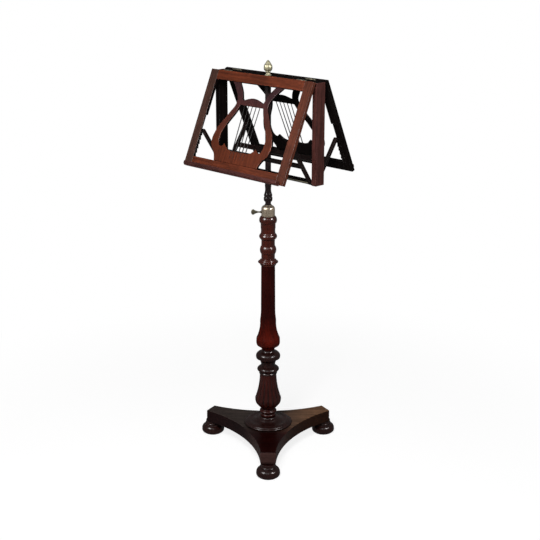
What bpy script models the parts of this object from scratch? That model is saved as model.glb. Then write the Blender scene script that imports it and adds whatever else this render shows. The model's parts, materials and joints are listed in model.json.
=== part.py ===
"""Duet music stand: a mahogany pillar on a triform base, a sliding post and two lyre rests.

Metres, +Z up. The origin is on the pillar's axis at floor level and the front foot points to -Y.
The desk is turned about the pillar, so its pieces are built in the desk's own axes: X along the
hinge line, -Y outwards on the front side. The back side is the front side turned half round.
"""
import math

import bmesh
import bpy
from mathutils import Vector

MM = 0.001

# Fits
GAP = 0.3 * MM                    # between pieces that touch
SLIDE_FIT = 0.3 * MM              # radial, between a turning or sliding piece and its hole

# Base
ARM_REACH = 237 * MM              # axis to the flat end of an arm
ARM_WIDTH = 51 * MM
FOOT_INSET = 10 * MM              # arm's end to the middle of its foot
WAIST_RADIUS = 95 * MM            # axis to the middle of a hollow side
PLATFORM_THICKNESS = 42 * MM
PLATFORM_EDGE = 2.5 * MM
COLUMN_SPIGOT_RADIUS = 12 * MM
COLUMN_SPIGOT_LENGTH = 50 * MM

# Turned marks, from the foot of each piece upwards: radius, height, hollow (-) or swell (+) of the
# stretch that leads up to the mark
FOOT_MARKS = ((32, 0, 0), (39.5, 11, 2), (28, 31, 4), (25, 36, -1), (25, 46, 0))
FLANGE_MARKS = ((79.5, 0, 0), (79.5, 6, 2), (75, 9, 0), (66, 11, 1), (40, 17, -3), (29, 25, -1))
BALUSTER_MARKS = (
    (23, 0, 0), (24, 9, 2), (22, 11, 0), (22, 14, 0), (22.5, 26, 7), (22.5, 30, -0.5),
    (45, 66, 6), (28.5, 155, -3.5), (28.5, 164, 0), (28, 184, 9), (25, 190, 0), (25, 197, -1),
    (40, 214, -3), (34, 234, 4), (21, 245.7, -3),
)
SHAFT_MARKS = (
    (21, 0, 0), (29.5, 11, -1), (39, 24, 2), (39, 38, 1), (27, 103, -4), (24, 150, -1), (23, 297.7, 0),
)
HEAD_MARKS = (
    (26, 0, 0), (32.8, 11, 1), (26, 19, 0), (22.5, 25, -2), (22.5, 38, 0), (22.5, 66, 4.5),
    (22.3, 82, 0), (22.8, 88, 0), (24.5, 108, 5), (24.5, 127, -1), (24.5, 143, 0), (29, 150, 1),
    (27, 163, 1), (24, 166.7, 0),
)
FINIAL_MARKS = (
    (10.3, 0, 0), (10, 2, 0.5), (7, 10, -1.5), (7.5, 13, 0.5), (13.8, 24, 2), (9, 38, 1.5), (0, 49, 1),
)

# Collar and clamping screw
COLLAR_RADIUS = 22.5 * MM
COLLAR_WALL = 4.2 * MM
COLLAR_STRAIGHT = 23 * MM
COLLAR_DOME = 15 * MM
COLLAR_LIP_WIDTH = 2.5 * MM
COLLAR_LIP_HEIGHT = 3 * MM
SPIGOT_TOP = 20 * MM              # wooden spigot of the pillar's head inside the collar
SCREW_HEIGHT = 13 * MM            # above the collar's foot
SCREW_RADIUS = 3 * MM
SCREW_NECK = 12 * MM              # bare shank outside the collar
TAB_LENGTH = 13.5 * MM
TAB_HEIGHT = 17 * MM
TAB_THICKNESS = 4.5 * MM
TAB_WAIST = 9.5 * MM             # height of the tab halfway along
TAB_ROOT_HEIGHT = 5 * MM
TAB_ROOT_DEPTH = 1.5 * MM         # tab let into the shank's end

# Sliding post
POST_RADIUS = 9.5 * MM
POST_HIDDEN = 368 * MM            # length inside the pillar at rest
POST_RAISED = 10 * MM             # knop above the collar at rest
POST_EASE = 0.2 * MM              # taken off the radius at the foot
BORE_SPARE = 12 * MM
KNOP_MARKS = ((10, 0, 0), (14.2, 9, 1.5), (12.5, 17, 1), (13.5, 24, 0.5), (10.5, 51, -2), (10.5, 68, 0),
              (14.5, 74, -1), (14.5, 88, 0))
WASHER_RADIUS = 15 * MM
WASHER_THICKNESS = 1.6 * MM
STUB_RADIUS = 5 * MM
STUB_IN_FINIAL = 14 * MM

# Desk
DESK_TURN = math.radians(-45.7)
DESK_WIDTH = 458 * MM
FRAME_HEIGHT = 318 * MM
FRAME_DEPTH = 37 * MM
FRAME_STILE = 18 * MM
FRAME_TOP_RAIL = 16 * MM
FRAME_BOTTOM_RAIL = 11 * MM
BOTTOM_RAIL_DEPTH = 20 * MM
HUB_WALL = 2 * MM                 # bottom rail's round swelling, outside the post's hole
TENON_SHOULDER = 3 * MM
TENON_LENGTH = 10 * MM

# Rests
READING_ANGLE = math.radians(23.5)
REST_OVERHANG = 7 * MM            # a closed rest's lower edge below the frame
REST_THICKNESS = 11 * MM
REST_STILE = 34 * MM
REST_TOP_RAIL = 32 * MM
REST_BOTTOM_RAIL = 32 * MM
LEDGE_LENGTH = 426 * MM
LEDGE_REACH = 17 * MM
LEDGE_THICKNESS = 12 * MM
LEDGE_DROP = 4 * MM               # below the rest's lower edge
LEDGE_LIP = 2.5 * MM              # height of the bead along the front
LEDGE_BEAD = 4 * MM
LEDGE_BEAD_SLOPE = 1 * MM
LEDGE_UNDERCUT = 5 * MM
LEDGE_FRONT = 6 * MM              # height of the slope under the front

# Lyre: right half, across from the middle and down a drawing from the top rail to the bottom rail, which
# takes its height from the opening between them; True marks a corner
LYRE_THICKNESS = 8 * MM
LYRE_OUTER = ((113, 0, True), (88, 28, False), (71, 61, False), (92, 104, False), (127, 160, False),
              (133, 204, False), (106, 242, False), (98, 261, True))
LYRE_ARM_INNER = ((80, 0, True), (58, 30, False), (47, 56, True))
YOKE_CREST = 45
LYRE_WINDOW = ((51, 71, True), (62, 96, False), (88, 140, False), (102, 181, False), (90, 211, False),
               (71, 202, True), (54, 216, False), (38, 221, True))
STRING_RADIUS = 1.7 * MM
STRINGS = 5
STRING_PITCH_TOP = 17 * MM
STRING_PITCH_FOOT = 15 * MM

# Hinges
LEAF_THICKNESS = 1.2 * MM
LEAF_HEIGHT = 15 * MM
HINGE_LENGTH = 40 * MM
HINGE_OFFSET = 165 * MM           # middle of the desk to the middle of a hinge
KNUCKLE_RADIUS = 2.4 * MM
HINGE_PIN_RADIUS = 1.1 * MM
LEAF_BELOW_AXIS = 0.5 * MM        # fixed leaf's top edge, inside the knuckles
NECK_HEIGHT = 7 * MM              # part of the moving leaf that bears its knuckle

# Struts and racks
TIP_ABOVE_FOOT = 123 * MM         # rest's lower edge to the centre of a leg's round tip
STRUT_THICKNESS = 9 * MM
LEG_WIDTH = 12 * MM
CROSSBAR_HEIGHT = 16 * MM
CROSSBAR_MIDDLE = 70 * MM
CROSSBAR_THICKNESS = 7 * MM
LEG_CLEARANCE = 1 * MM            # leg to the frame's stile
TIP_CLEARANCE = 2.4 * MM          # leg's tip to the plane of the rest's back
ROD_RADIUS = 2.5 * MM
ROD_SEAT = 8 * MM
ROD_ABOVE_FOOT = 5.5 * MM         # beside the frame's bottom rail
ROD_FROM_FACE = 3.5 * MM
RACK_BELOW_TIP = 2.6 * MM         # rack's top to the centre of the leg's tip
RACK_DEPTH = 6.5 * MM
REBATE_ABOVE_RACK = 52 * MM       # open part of the rebate, which the leg's tip swings through
RACK_PROUD = 1 * MM
NOTCH_DEPTH = 4 * MM
NOTCH_LAND = 2 * MM               # flat crest of a tooth
NOTCH_SLOPE = 0.5 * MM            # fall of a tooth's upper flank
NOTCHES = 6

# Facets
COLUMN_STEPS = 20
SMALL_STEPS = 16
SHAFT_SIDES = 8
ARC_STEPS = 3                     # in a hollow or swell
CURVE_STEPS = 3                   # between two points of a drawn outline
ROUND_STEPS = 10                  # knuckles, pins and rods
STRING_SIDES = 8

# Heights and places worked out from the sizes above
FOOT_HEIGHT = FOOT_MARKS[-1][1] * MM
FOOT_CIRCLE_RADIUS = ARM_REACH - FOOT_INSET
PLATFORM_TOP = FOOT_HEIGHT + GAP + PLATFORM_THICKNESS
FLANGE_FOOT = PLATFORM_TOP + GAP
BALUSTER_FOOT = FLANGE_FOOT + FLANGE_MARKS[-1][1] * MM + GAP
SHAFT_FOOT = BALUSTER_FOOT + BALUSTER_MARKS[-1][1] * MM + GAP
HEAD_FOOT = SHAFT_FOOT + SHAFT_MARKS[-1][1] * MM + GAP
COLLAR_FOOT = HEAD_FOOT + HEAD_MARKS[-1][1] * MM + GAP
COLLAR_TOP = COLLAR_FOOT + COLLAR_STRAIGHT + COLLAR_DOME
KNOP_FOOT = COLLAR_TOP + POST_RAISED
KNOP_TOP = KNOP_FOOT + KNOP_MARKS[-1][1] * MM
FRAME_FOOT = KNOP_TOP + WASHER_THICKNESS + 2 * GAP
FRAME_TOP = FRAME_FOOT + FRAME_HEIGHT
POST_FOOT = COLLAR_TOP - POST_HIDDEN
BORE_FOOT = POST_FOOT - BORE_SPARE
BORE_RADIUS = POST_RADIUS + SLIDE_FIT
HINGE_GAP = 2 * LEAF_THICKNESS + 3 * GAP
HINGE_DROP = KNUCKLE_RADIUS + GAP             # hinge axis to the tops of the frame and the rests
HINGE_Y = FRAME_DEPTH / 2 + HINGE_GAP / 2
HINGE_Z = FRAME_TOP + HINGE_DROP
REST_HEIGHT = FRAME_HEIGHT + REST_OVERHANG
ROD_Y = FRAME_DEPTH / 2 - ROD_FROM_FACE
ROD_Z = FRAME_FOOT + ROD_ABOVE_FOOT
HALF_DESK = DESK_WIDTH / 2
FRAME_INSIDE = HALF_DESK - FRAME_STILE        # half the clear width of the frame
REST_INSIDE = HALF_DESK - REST_STILE          # half the clear width of a rest
LEG_OUTSIDE = FRAME_INSIDE - LEG_CLEARANCE
REST_BACK = -HINGE_GAP / 2                    # back face of a rest, in its closed axes
REST_FACE = REST_BACK - REST_THICKNESS

# The strut reaches from its rod to a place behind the tilted rest, a clearance away from its back
TIP_OFF = REST_BACK + STRUT_THICKNESS / 2 + TIP_CLEARANCE
TIP_DOWN = REST_HEIGHT - TIP_ABOVE_FOOT               # below the rest's top edge
TIP_OUT = ((TIP_DOWN + HINGE_DROP) * math.sin(READING_ANGLE) - TIP_OFF * math.cos(READING_ANGLE)
           + HINGE_Y - ROD_Y)
TIP_RISE = (HINGE_Z - ROD_Z - (TIP_DOWN + HINGE_DROP) * math.cos(READING_ANGLE)
            - TIP_OFF * math.sin(READING_ANGLE))
STRUT_REACH = math.hypot(TIP_OUT, TIP_RISE)           # rod to the centre of a leg's round tip
STRUT_ANGLE = math.atan2(TIP_OUT, TIP_RISE)
RACK_TOP = TIP_DOWN + RACK_BELOW_TIP
RACK_OUTSIDE = FRAME_INSIDE                           # from there the rack reaches to the stile's inner edge

# Finishes: colour, roughness, metallic
MAHOGANY = ("mahogany", (0.115, 0.028, 0.014, 1), 0.28, 0.0)
DARK_MAHOGANY = ("dark_mahogany", (0.035, 0.012, 0.009, 1), 0.3, 0.0)
EBONY = ("ebony", (0.012, 0.010, 0.010, 1), 0.35, 0.0)
BRASS = ("brass", (0.46, 0.36, 0.17, 1), 0.3, 1.0)


def clear_scene():
    for item in list(bpy.data.objects):
        bpy.data.objects.remove(item, do_unlink=True)


def new_collection(name):
    group = bpy.data.collections.new(name)
    bpy.context.scene.collection.children.link(group)
    return group


clear_scene()
PARTS = new_collection("duet_music_stand")
CUTTERS = new_collection("cutters")


def finish_material(node, finish):
    """A Principled material of the node's own, in one of the finishes."""
    name, colour, roughness, metallic = finish
    material = bpy.data.materials.new(f"{node}_{name}")
    material.use_nodes = True
    shader = material.node_tree.nodes["Principled BSDF"]
    shader.inputs["Base Color"].default_value = colour
    shader.inputs["Roughness"].default_value = roughness
    shader.inputs["Metallic"].default_value = metallic
    return material


def empty(name, location, parent=None, rotation=(0, 0, 0)):
    pivot = bpy.data.objects.new(name, None)
    pivot.location = location
    pivot.rotation_euler = rotation
    pivot.parent = parent
    PARTS.objects.link(pivot)
    return pivot


def place(name, data, finish, parent=None, location=(0, 0, 0), rotation=(0, 0, 0)):
    """Links an object to the parts, or to the hidden cutters when it has no finish."""
    piece = bpy.data.objects.new(name, data)
    piece.location = location
    piece.rotation_euler = rotation
    piece.parent = parent
    if finish:
        piece.data.materials.append(finish_material(name, finish))
        PARTS.objects.link(piece)
    else:
        piece.hide_render = True
        piece.display_type = "WIRE"
        CUTTERS.objects.link(piece)
    return piece


def mesh_from(name, bm):
    bmesh.ops.recalc_face_normals(bm, faces=bm.faces)
    mesh = bpy.data.meshes.new(name)
    bm.to_mesh(mesh)
    bm.free()
    return mesh


def box_mesh(low, high):
    bm = bmesh.new()
    bmesh.ops.create_cube(bm, size=1)
    for corner in bm.verts:
        corner.co = Vector(
            high[axis] if corner.co[axis] > 0 else low[axis] for axis in range(3)
        )
    return bm


def box(name, low, high, finish, parent=None):
    return place(name, mesh_from(name, box_mesh(low, high)), finish, parent)


def rail(name, low, high, finish, parent):
    """A bar along X with a stub tenon, shouldered all round, on each end."""
    bm = box_mesh(low, high)
    ends = [face for face in bm.faces if abs(face.normal.x) > 0.5]
    for end in ends:
        outwards = Vector((math.copysign(TENON_LENGTH, end.normal.x), 0, 0))
        bmesh.ops.inset_individual(bm, faces=[end], thickness=TENON_SHOULDER, use_even_offset=True)
        tenon = bmesh.ops.extrude_discrete_faces(bm, faces=[end])["faces"]
        bmesh.ops.translate(bm, verts=tenon[0].verts, vec=outwards)
    return place(name, mesh_from(name, bm), finish, parent)


def cylinder(name, start, end, radius, finish, parent=None, sides=SMALL_STEPS):
    """A round bar between two points."""
    start = Vector(start)
    along = Vector(end) - start
    bm = bmesh.new()
    bmesh.ops.create_cone(bm, cap_ends=True, segments=sides, radius1=radius, radius2=radius,
                          depth=along.length)
    turn = along.to_track_quat("Z", "Y").to_matrix().to_4x4()
    turn.translation = start + along / 2
    bmesh.ops.transform(bm, matrix=turn, verts=bm.verts)
    piece = place(name, mesh_from(name, bm), finish, parent)
    piece.data.shade_smooth()
    piece.data.set_sharp_from_angle(angle=math.radians(40))
    return piece


def combine(piece, tool, operation="DIFFERENCE"):
    step = piece.modifiers.new(f"{operation.lower()} {tool.name}", "BOOLEAN")
    step.object = tool
    step.operation = operation
    step.solver = "EXACT"


def swept(marks, arc_steps=ARC_STEPS):
    """Radius and height pairs of turned marks, with each hollow or swell as a run of points."""
    points = [(marks[0][0] * MM, marks[0][1] * MM)]
    for (r0, z0, _), (r1, z1, bulge) in zip(marks, marks[1:]):
        chord = math.hypot(r1 - r0, z1 - z0)
        steps = arc_steps if bulge else 1
        for step in range(1, steps + 1):
            t = step / steps
            out = 4 * bulge * t * (1 - t)
            points.append(((r0 + (r1 - r0) * t + out * (z1 - z0) / chord) * MM,
                           (z0 + (z1 - z0) * t - out * (r1 - r0) / chord) * MM))
    return points


def turned(name, loop, finish, steps=COLUMN_STEPS, closed=False, parent=None, location=(0, 0, 0),
           turn=0.0):
    """A turned solid from radius and height pairs that run down its outer side."""
    mesh = bpy.data.meshes.new(name)
    edges = [(i, i + 1) for i in range(len(loop) - 1)]
    if closed:
        edges.append((len(loop) - 1, 0))
    mesh.from_pydata([(r, 0, z) for r, z in loop], edges, [])
    piece = place(name, mesh, finish, parent, location, (0, 0, turn))
    screw = piece.modifiers.new("turning", "SCREW")
    screw.steps = steps
    screw.render_steps = steps
    screw.use_merge_vertices = True
    screw.merge_threshold = 0.00001
    screw.use_smooth_shade = steps > SHAFT_SIDES
    return piece


def outline(name, loops, thickness, finish, parent=None, location=(0, 0, 0), rotation=(0, 0, 0)):
    """A flat outline of given thickness. Each loop is a list of x, y and a corner flag."""
    curve = bpy.data.curves.new(name, "CURVE")
    curve.dimensions = "2D"
    curve.fill_mode = "BOTH"
    curve.extrude = thickness / 2
    curve.resolution_u = CURVE_STEPS
    for loop in loops:
        straight = all(corner for _, _, corner in loop)
        spline = curve.splines.new("POLY" if straight else "BEZIER")
        points = spline.points if straight else spline.bezier_points
        points.add(len(loop) - 1)
        spline.use_cyclic_u = True
        for point, (x, y, corner) in zip(points, loop):
            if straight:
                point.co = (x, y, 0, 1)
            else:
                point.co = (x, y, 0)
                point.handle_left_type = "VECTOR" if corner else "AUTO"
                point.handle_right_type = "VECTOR" if corner else "AUTO"
    return place(name, curve, finish, parent, location, rotation)


FACING = (math.radians(90), 0, 0)                     # outline x, y become X, Z
SIDEWAYS = (math.radians(90), 0, math.radians(90))    # outline x, y become Y, Z


def circle(x, y, radius):
    return [(x + radius, y, False), (x, y + radius, False), (x - radius, y, False), (x, y - radius, False)]


def polygon(points):
    return [(x, y, True) for x, y in points]


# Base and pillar

def platform():
    """Three arms with flat ends and hollow sides, each side an arc between two arm corners."""
    half = ARM_WIDTH / 2
    corner = Vector((ARM_REACH, half))
    middle = math.radians(60)
    inward = corner.x * math.cos(middle) + corner.y * math.sin(middle)
    across = corner.x * math.sin(middle) - corner.y * math.cos(middle)
    sagitta = inward - WAIST_RADIUS
    radius = (across ** 2 + sagitta ** 2) / (2 * sagitta)
    sweep = math.asin(across / radius)
    points = []
    arc_steps = 10
    for arm in range(3):
        heading = math.radians(-90 + 120 * arm)
        points.append((ARM_REACH * math.cos(heading) + half * math.sin(heading),
                       ARM_REACH * math.sin(heading) - half * math.cos(heading)))
        centre = WAIST_RADIUS + radius
        for step in range(arc_steps):
            swing = -sweep + 2 * sweep * step / arc_steps
            along = centre - radius * math.cos(swing)
            aside = radius * math.sin(swing)
            side = heading + middle
            points.append((along * math.cos(side) - aside * math.sin(side),
                           along * math.sin(side) + aside * math.cos(side)))
    bm = bmesh.new()
    floor = bm.faces.new([bm.verts.new((x, y, FOOT_HEIGHT + GAP)) for x, y in points])
    top = bmesh.ops.extrude_face_region(bm, geom=[floor])["geom"]
    bmesh.ops.translate(bm, verts=[v for v in top if isinstance(v, bmesh.types.BMVert)],
                        vec=(0, 0, PLATFORM_THICKNESS))
    piece = place("base_platform", mesh_from("base_platform", bm), DARK_MAHOGANY)
    edge = piece.modifiers.new("eased edges", "BEVEL")
    edge.width = PLATFORM_EDGE
    edge.segments = 1
    edge.limit_method = "ANGLE"
    edge.angle_limit = math.radians(60)
    hole = cylinder("cutter_column_hole", (0, 0, BALUSTER_FOOT - COLUMN_SPIGOT_LENGTH - GAP),
                    (0, 0, PLATFORM_TOP + FOOT_HEIGHT), COLUMN_SPIGOT_RADIUS + GAP, None)
    combine(piece, hole)


def feet():
    marks = swept(FOOT_MARKS)
    profile = [(0, marks[-1][1])] + marks[::-1] + [(0, 0)]
    for name, heading in (("front", -90), ("right", 30), ("left", 150)):
        angle = math.radians(heading)
        turned(f"foot_{name}", profile, DARK_MAHOGANY, SMALL_STEPS,
               location=(FOOT_CIRCLE_RADIUS * math.cos(angle), FOOT_CIRCLE_RADIUS * math.sin(angle), 0))


def pillar():
    hole = COLUMN_SPIGOT_RADIUS + GAP
    marks = swept(FLANGE_MARKS)
    turned("base_flange", marks[::-1] + [(hole, 0), (hole, marks[-1][1])], DARK_MAHOGANY, closed=True,
           location=(0, 0, FLANGE_FOOT))

    marks = swept(BALUSTER_MARKS)
    spigot = [(COLUMN_SPIGOT_RADIUS, 0), (COLUMN_SPIGOT_RADIUS, -COLUMN_SPIGOT_LENGTH),
              (0, -COLUMN_SPIGOT_LENGTH)]
    turned("column_baluster", [(0, marks[-1][1])] + marks[::-1] + spigot, MAHOGANY,
           location=(0, 0, BALUSTER_FOOT))

    # Eight flats: the marks give the distance to a flat, so the corners lie further out
    corner = 1 / math.cos(math.pi / SHAFT_SIDES)
    marks = [(r * corner, z) for r, z in swept(SHAFT_MARKS)]
    bore = BORE_FOOT - SHAFT_FOOT
    socket = [(0, bore), (BORE_RADIUS * corner, bore), (BORE_RADIUS * corner, marks[-1][1])]
    turned("column_shaft", socket + marks[::-1] + [(0, 0)], MAHOGANY, SHAFT_SIDES,
           location=(0, 0, SHAFT_FOOT), turn=math.pi / SHAFT_SIDES)

    marks = swept(HEAD_MARKS)
    top = marks[-1][1]
    spigot = COLLAR_RADIUS - COLLAR_WALL - GAP
    neck = [(BORE_RADIUS, top + SPIGOT_TOP), (spigot, top + SPIGOT_TOP), (spigot, top)]
    head = turned("column_head", neck + marks[::-1] + [(BORE_RADIUS, 0)], MAHOGANY, closed=True,
                  location=(0, 0, HEAD_FOOT))
    collar_and_screw(head)


def collar_and_screw(head):
    inside = COLLAR_RADIUS - COLLAR_WALL
    height = COLLAR_STRAIGHT + COLLAR_DOME
    lip = BORE_RADIUS + COLLAR_LIP_WIDTH
    dome = []
    dome_steps = 5
    for step in range(dome_steps + 1):
        swing = math.pi / 2 * (1 - step / dome_steps)
        dome.append((lip + (COLLAR_RADIUS - lip) * math.cos(swing),
                     COLLAR_STRAIGHT + (COLLAR_DOME - COLLAR_LIP_HEIGHT) * math.sin(swing)))
    profile = [(BORE_RADIUS, height), (lip, height)] + dome + [
        (COLLAR_RADIUS, 0), (inside, 0), (inside, SPIGOT_TOP + GAP), (BORE_RADIUS, SPIGOT_TOP + GAP)]
    collar = turned("brass_collar", profile, BRASS, closed=True, location=(0, 0, COLLAR_FOOT))

    level = COLLAR_FOOT + SCREW_HEIGHT
    passage = cylinder("cutter_screw_hole", (0, 0, level), (-2 * COLLAR_RADIUS, 0, level),
                       SCREW_RADIUS + SLIDE_FIT, None)
    combine(collar, passage)
    combine(head, passage)

    pivot = empty("thumbscrew_axis", (-COLLAR_RADIUS, 0, level))
    tip = COLLAR_RADIUS - POST_RADIUS - GAP
    shank = cylinder("thumbscrew", (tip, 0, 0), (-SCREW_NECK, 0, 0), SCREW_RADIUS, BRASS, pivot)
    root = -SCREW_NECK + TAB_ROOT_DEPTH
    end = -SCREW_NECK - TAB_LENGTH
    halfway = -SCREW_NECK - TAB_LENGTH / 2
    upper = [(root, TAB_ROOT_HEIGHT / 2, True), (halfway, TAB_WAIST / 2, False), (end, TAB_HEIGHT / 2, False)]
    shape = upper + [(x, -y, corner) for x, y, corner in upper[::-1]]
    curve = outline("tab_outline", [shape], TAB_THICKNESS, None, pivot, rotation=FACING)
    tab = mesh_of(curve, "cutter_thumbscrew_tab")
    combine(shank, tab, "UNION")


def mesh_of(curve, name):
    """The solid of a flat outline as a mesh tool, with its caps welded on."""
    bpy.context.view_layer.update()
    graph = bpy.context.evaluated_depsgraph_get()
    mesh = bpy.data.meshes.new_from_object(curve.evaluated_get(graph))
    bm = bmesh.new()
    bm.from_mesh(mesh)
    bmesh.ops.remove_doubles(bm, verts=bm.verts, dist=0.00001)
    bm.to_mesh(mesh)
    bm.free()
    solid = place(name, mesh, None)
    solid.matrix_world = curve.matrix_world
    bpy.data.objects.remove(curve, do_unlink=True)
    return solid


def post():
    """Post, knop and top stub in one turning, on the pivot that slides."""
    pivot = empty("post_slide", (0, 0, COLLAR_TOP))
    knop = [(r, z + KNOP_FOOT - COLLAR_TOP) for r, z in swept(KNOP_MARKS)]
    shoulder = FRAME_TOP - FRAME_TOP_RAIL - GAP - COLLAR_TOP
    tip = FRAME_TOP + GAP + STUB_IN_FINIAL - GAP - COLLAR_TOP
    shank = POST_RADIUS - POST_EASE
    above = [(0, tip), (STUB_RADIUS, tip), (STUB_RADIUS, shoulder), (POST_RADIUS, shoulder),
             (POST_RADIUS, knop[-1][1])]
    below = [(POST_RADIUS, KNOP_FOOT - COLLAR_TOP), (POST_RADIUS, -COLLAR_DOME), (shank, -POST_HIDDEN),
             (0, -POST_HIDDEN)]
    turned("post", above + knop[::-1] + below, DARK_MAHOGANY, SMALL_STEPS, parent=pivot)
    washer = [(BORE_RADIUS, WASHER_THICKNESS), (WASHER_RADIUS, WASHER_THICKNESS), (WASHER_RADIUS, 0),
              (BORE_RADIUS, 0)]
    turned("desk_washer", washer, BRASS, SMALL_STEPS, closed=True, parent=pivot,
           location=(0, 0, KNOP_TOP + GAP - COLLAR_TOP))
    marks = swept(FINIAL_MARKS)
    socket = STUB_RADIUS + GAP
    turned("finial", marks[::-1] + [(socket, 0), (socket, STUB_IN_FINIAL), (0, STUB_IN_FINIAL)], BRASS,
           SMALL_STEPS, parent=pivot, location=(0, 0, FRAME_TOP + GAP - COLLAR_TOP))


# Desk

def desk_frame(desk):
    """Two stiles with the rails tenoned between them. The bottom rail swells to a hub round the post."""
    deep = FRAME_DEPTH / 2
    inside = FRAME_INSIDE - GAP
    low = box_limits(inside, BOTTOM_RAIL_DEPTH / 2, FRAME_FOOT, FRAME_FOOT + FRAME_BOTTOM_RAIL)
    high = box_limits(inside, deep, FRAME_TOP - FRAME_TOP_RAIL, FRAME_TOP)
    bottom_rail = rail("frame_bottom_rail", *low, DARK_MAHOGANY, desk)
    top_rail = rail("frame_top_rail", *high, DARK_MAHOGANY, desk)
    hole_radius = BORE_RADIUS + GAP
    hub = cylinder("cutter_hub", (0, 0, FRAME_FOOT), (0, 0, FRAME_FOOT + FRAME_BOTTOM_RAIL),
                   hole_radius + HUB_WALL, None, desk, COLUMN_STEPS)
    post_hole = cylinder("cutter_post_hole", (0, 0, FRAME_FOOT - FRAME_BOTTOM_RAIL),
                         (0, 0, FRAME_FOOT + 2 * FRAME_BOTTOM_RAIL), hole_radius, None, desk)
    stub_hole = cylinder("cutter_stub_hole", (0, 0, FRAME_TOP - 2 * FRAME_TOP_RAIL),
                         (0, 0, FRAME_TOP + FRAME_TOP_RAIL), STUB_RADIUS + SLIDE_FIT, None, desk)
    combine(bottom_rail, hub, "UNION")
    combine(bottom_rail, post_hole)
    combine(top_rail, stub_hole)
    mortises = [mortise(f"cutter_frame_{level}", *limits, desk) for level, limits in
                (("bottom_mortise", low), ("top_mortise", high))]
    seat = FRAME_INSIDE + ROD_SEAT + GAP
    seats = [cylinder(f"cutter_{name}_rod_seat", (-seat, y, ROD_Z), (seat, y, ROD_Z), ROD_RADIUS + GAP,
                      None, desk, ROUND_STEPS)
             for name, y in (("front", -ROD_Y), ("back", ROD_Y))]
    for name, side in (("left", -1), ("right", 1)):
        edges = sorted((side * FRAME_INSIDE, side * HALF_DESK))
        stile = box(f"frame_{name}_stile", (edges[0], -deep, FRAME_FOOT), (edges[1], deep, FRAME_TOP),
                    DARK_MAHOGANY, desk)
        for tool in mortises + seats:
            combine(stile, tool)


def box_limits(half_length, half_depth, low, high):
    return (-half_length, -half_depth, low), (half_length, half_depth, high)


def mortise(name, low, high, parent):
    """A tool as large as a rail's two tenons and their clearance, right through the rail."""
    slack = TENON_SHOULDER - GAP
    reach = TENON_LENGTH + GAP
    return box(name, (low[0] - reach, low[1] + slack, low[2] + slack),
               (high[0] + reach, high[1] - slack, high[2] - slack), None, parent)


def rest(name, pivot):
    """One rest in its closed axes: hinge line on X, outer face to -Y, top edge below the hinge."""
    top = -HINGE_DROP
    foot = top - REST_HEIGHT
    inside = REST_INSIDE - GAP
    high = ((-inside, REST_FACE, top - REST_TOP_RAIL), (inside, REST_BACK, top))
    low = ((-inside, REST_FACE, foot), (inside, REST_BACK, foot + REST_BOTTOM_RAIL))
    rail(f"{name}_top_rail", *high, MAHOGANY, pivot)
    rail(f"{name}_bottom_rail", *low, MAHOGANY, pivot)
    mortises = [mortise(f"cutter_{name}_top_mortise", *high, pivot),
                mortise(f"cutter_{name}_bottom_mortise", *low, pivot)]
    for hand, side in (("left", -1), ("right", 1)):
        edges = sorted((side * REST_INSIDE, side * HALF_DESK))
        stile = box(f"{name}_{hand}_stile", (edges[0], REST_FACE, foot), (edges[1], REST_BACK, top),
                    MAHOGANY, pivot)
        for tool in mortises + [rebate(f"cutter_{name}_{hand}_rebate", side, top, foot, pivot)]:
            combine(stile, tool)
        rack(f"{name}_{hand}_rack", side, top, foot, pivot)
    lyre(name, top, pivot)
    ledge(name, foot, pivot)


def lyre(name, top, pivot):
    """Fret-cut lyre between the rails, and its strings between the yoke and the base."""
    lower = REST_HEIGHT - REST_BOTTOM_RAIL
    opening = lower - REST_TOP_RAIL
    drawn_height = LYRE_OUTER[-1][1]
    middle = REST_BACK - REST_THICKNESS / 2

    def drop(down):
        """Depth below the rest's top edge of a mark in the drawing, a gap clear of both rails."""
        return min(max(REST_TOP_RAIL + opening * down / drawn_height, REST_TOP_RAIL + GAP), lower - GAP)

    def half(points, side):
        return [(side * x * MM, -drop(down), corner) for x, down, corner in points]

    yoke_top = [(0, -drop(YOKE_CREST), False)]
    right = half(LYRE_OUTER, 1)
    left = half(LYRE_OUTER, -1)
    arm_right = half(LYRE_ARM_INNER, 1)
    arm_left = half(LYRE_ARM_INNER, -1)
    edge = right + left[::-1] + arm_left + yoke_top + arm_right[::-1]
    window = half(LYRE_WINDOW, 1) + half(LYRE_WINDOW, -1)[::-1]
    outline(f"{name}_lyre", [edge, window], LYRE_THICKNESS, MAHOGANY, pivot, (0, middle, top), FACING)

    yoke_foot = top - drop(LYRE_WINDOW[0][1]) - GAP
    base_top = top - drop(LYRE_WINDOW[-1][1]) + GAP
    for number in range(STRINGS):
        place_across = number - (STRINGS - 1) / 2
        cylinder(f"{name}_string_{number + 1}", (place_across * STRING_PITCH_TOP, middle, yoke_foot),
                 (place_across * STRING_PITCH_FOOT, middle, base_top), STRING_RADIUS, EBONY, pivot,
                 STRING_SIDES)


def ledge(name, foot, pivot):
    """Lip that carries the music, moulded underneath and along its front."""
    back = REST_FACE - GAP
    front = back - LEDGE_REACH
    low = foot - LEDGE_DROP
    shelf = low + LEDGE_THICKNESS
    bead_back = front + LEDGE_BEAD
    shape = polygon([(back, shelf), (bead_back, shelf), (bead_back - LEDGE_BEAD_SLOPE, shelf + LEDGE_LIP),
                     (front + LEDGE_BEAD_SLOPE, shelf + LEDGE_LIP), (front, shelf),
                     (front, low + LEDGE_FRONT), (front + LEDGE_UNDERCUT, low), (back, low)])
    outline(f"{name}_ledge", [shape], LEDGE_LENGTH, DARK_MAHOGANY, pivot, rotation=SIDEWAYS)


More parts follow.
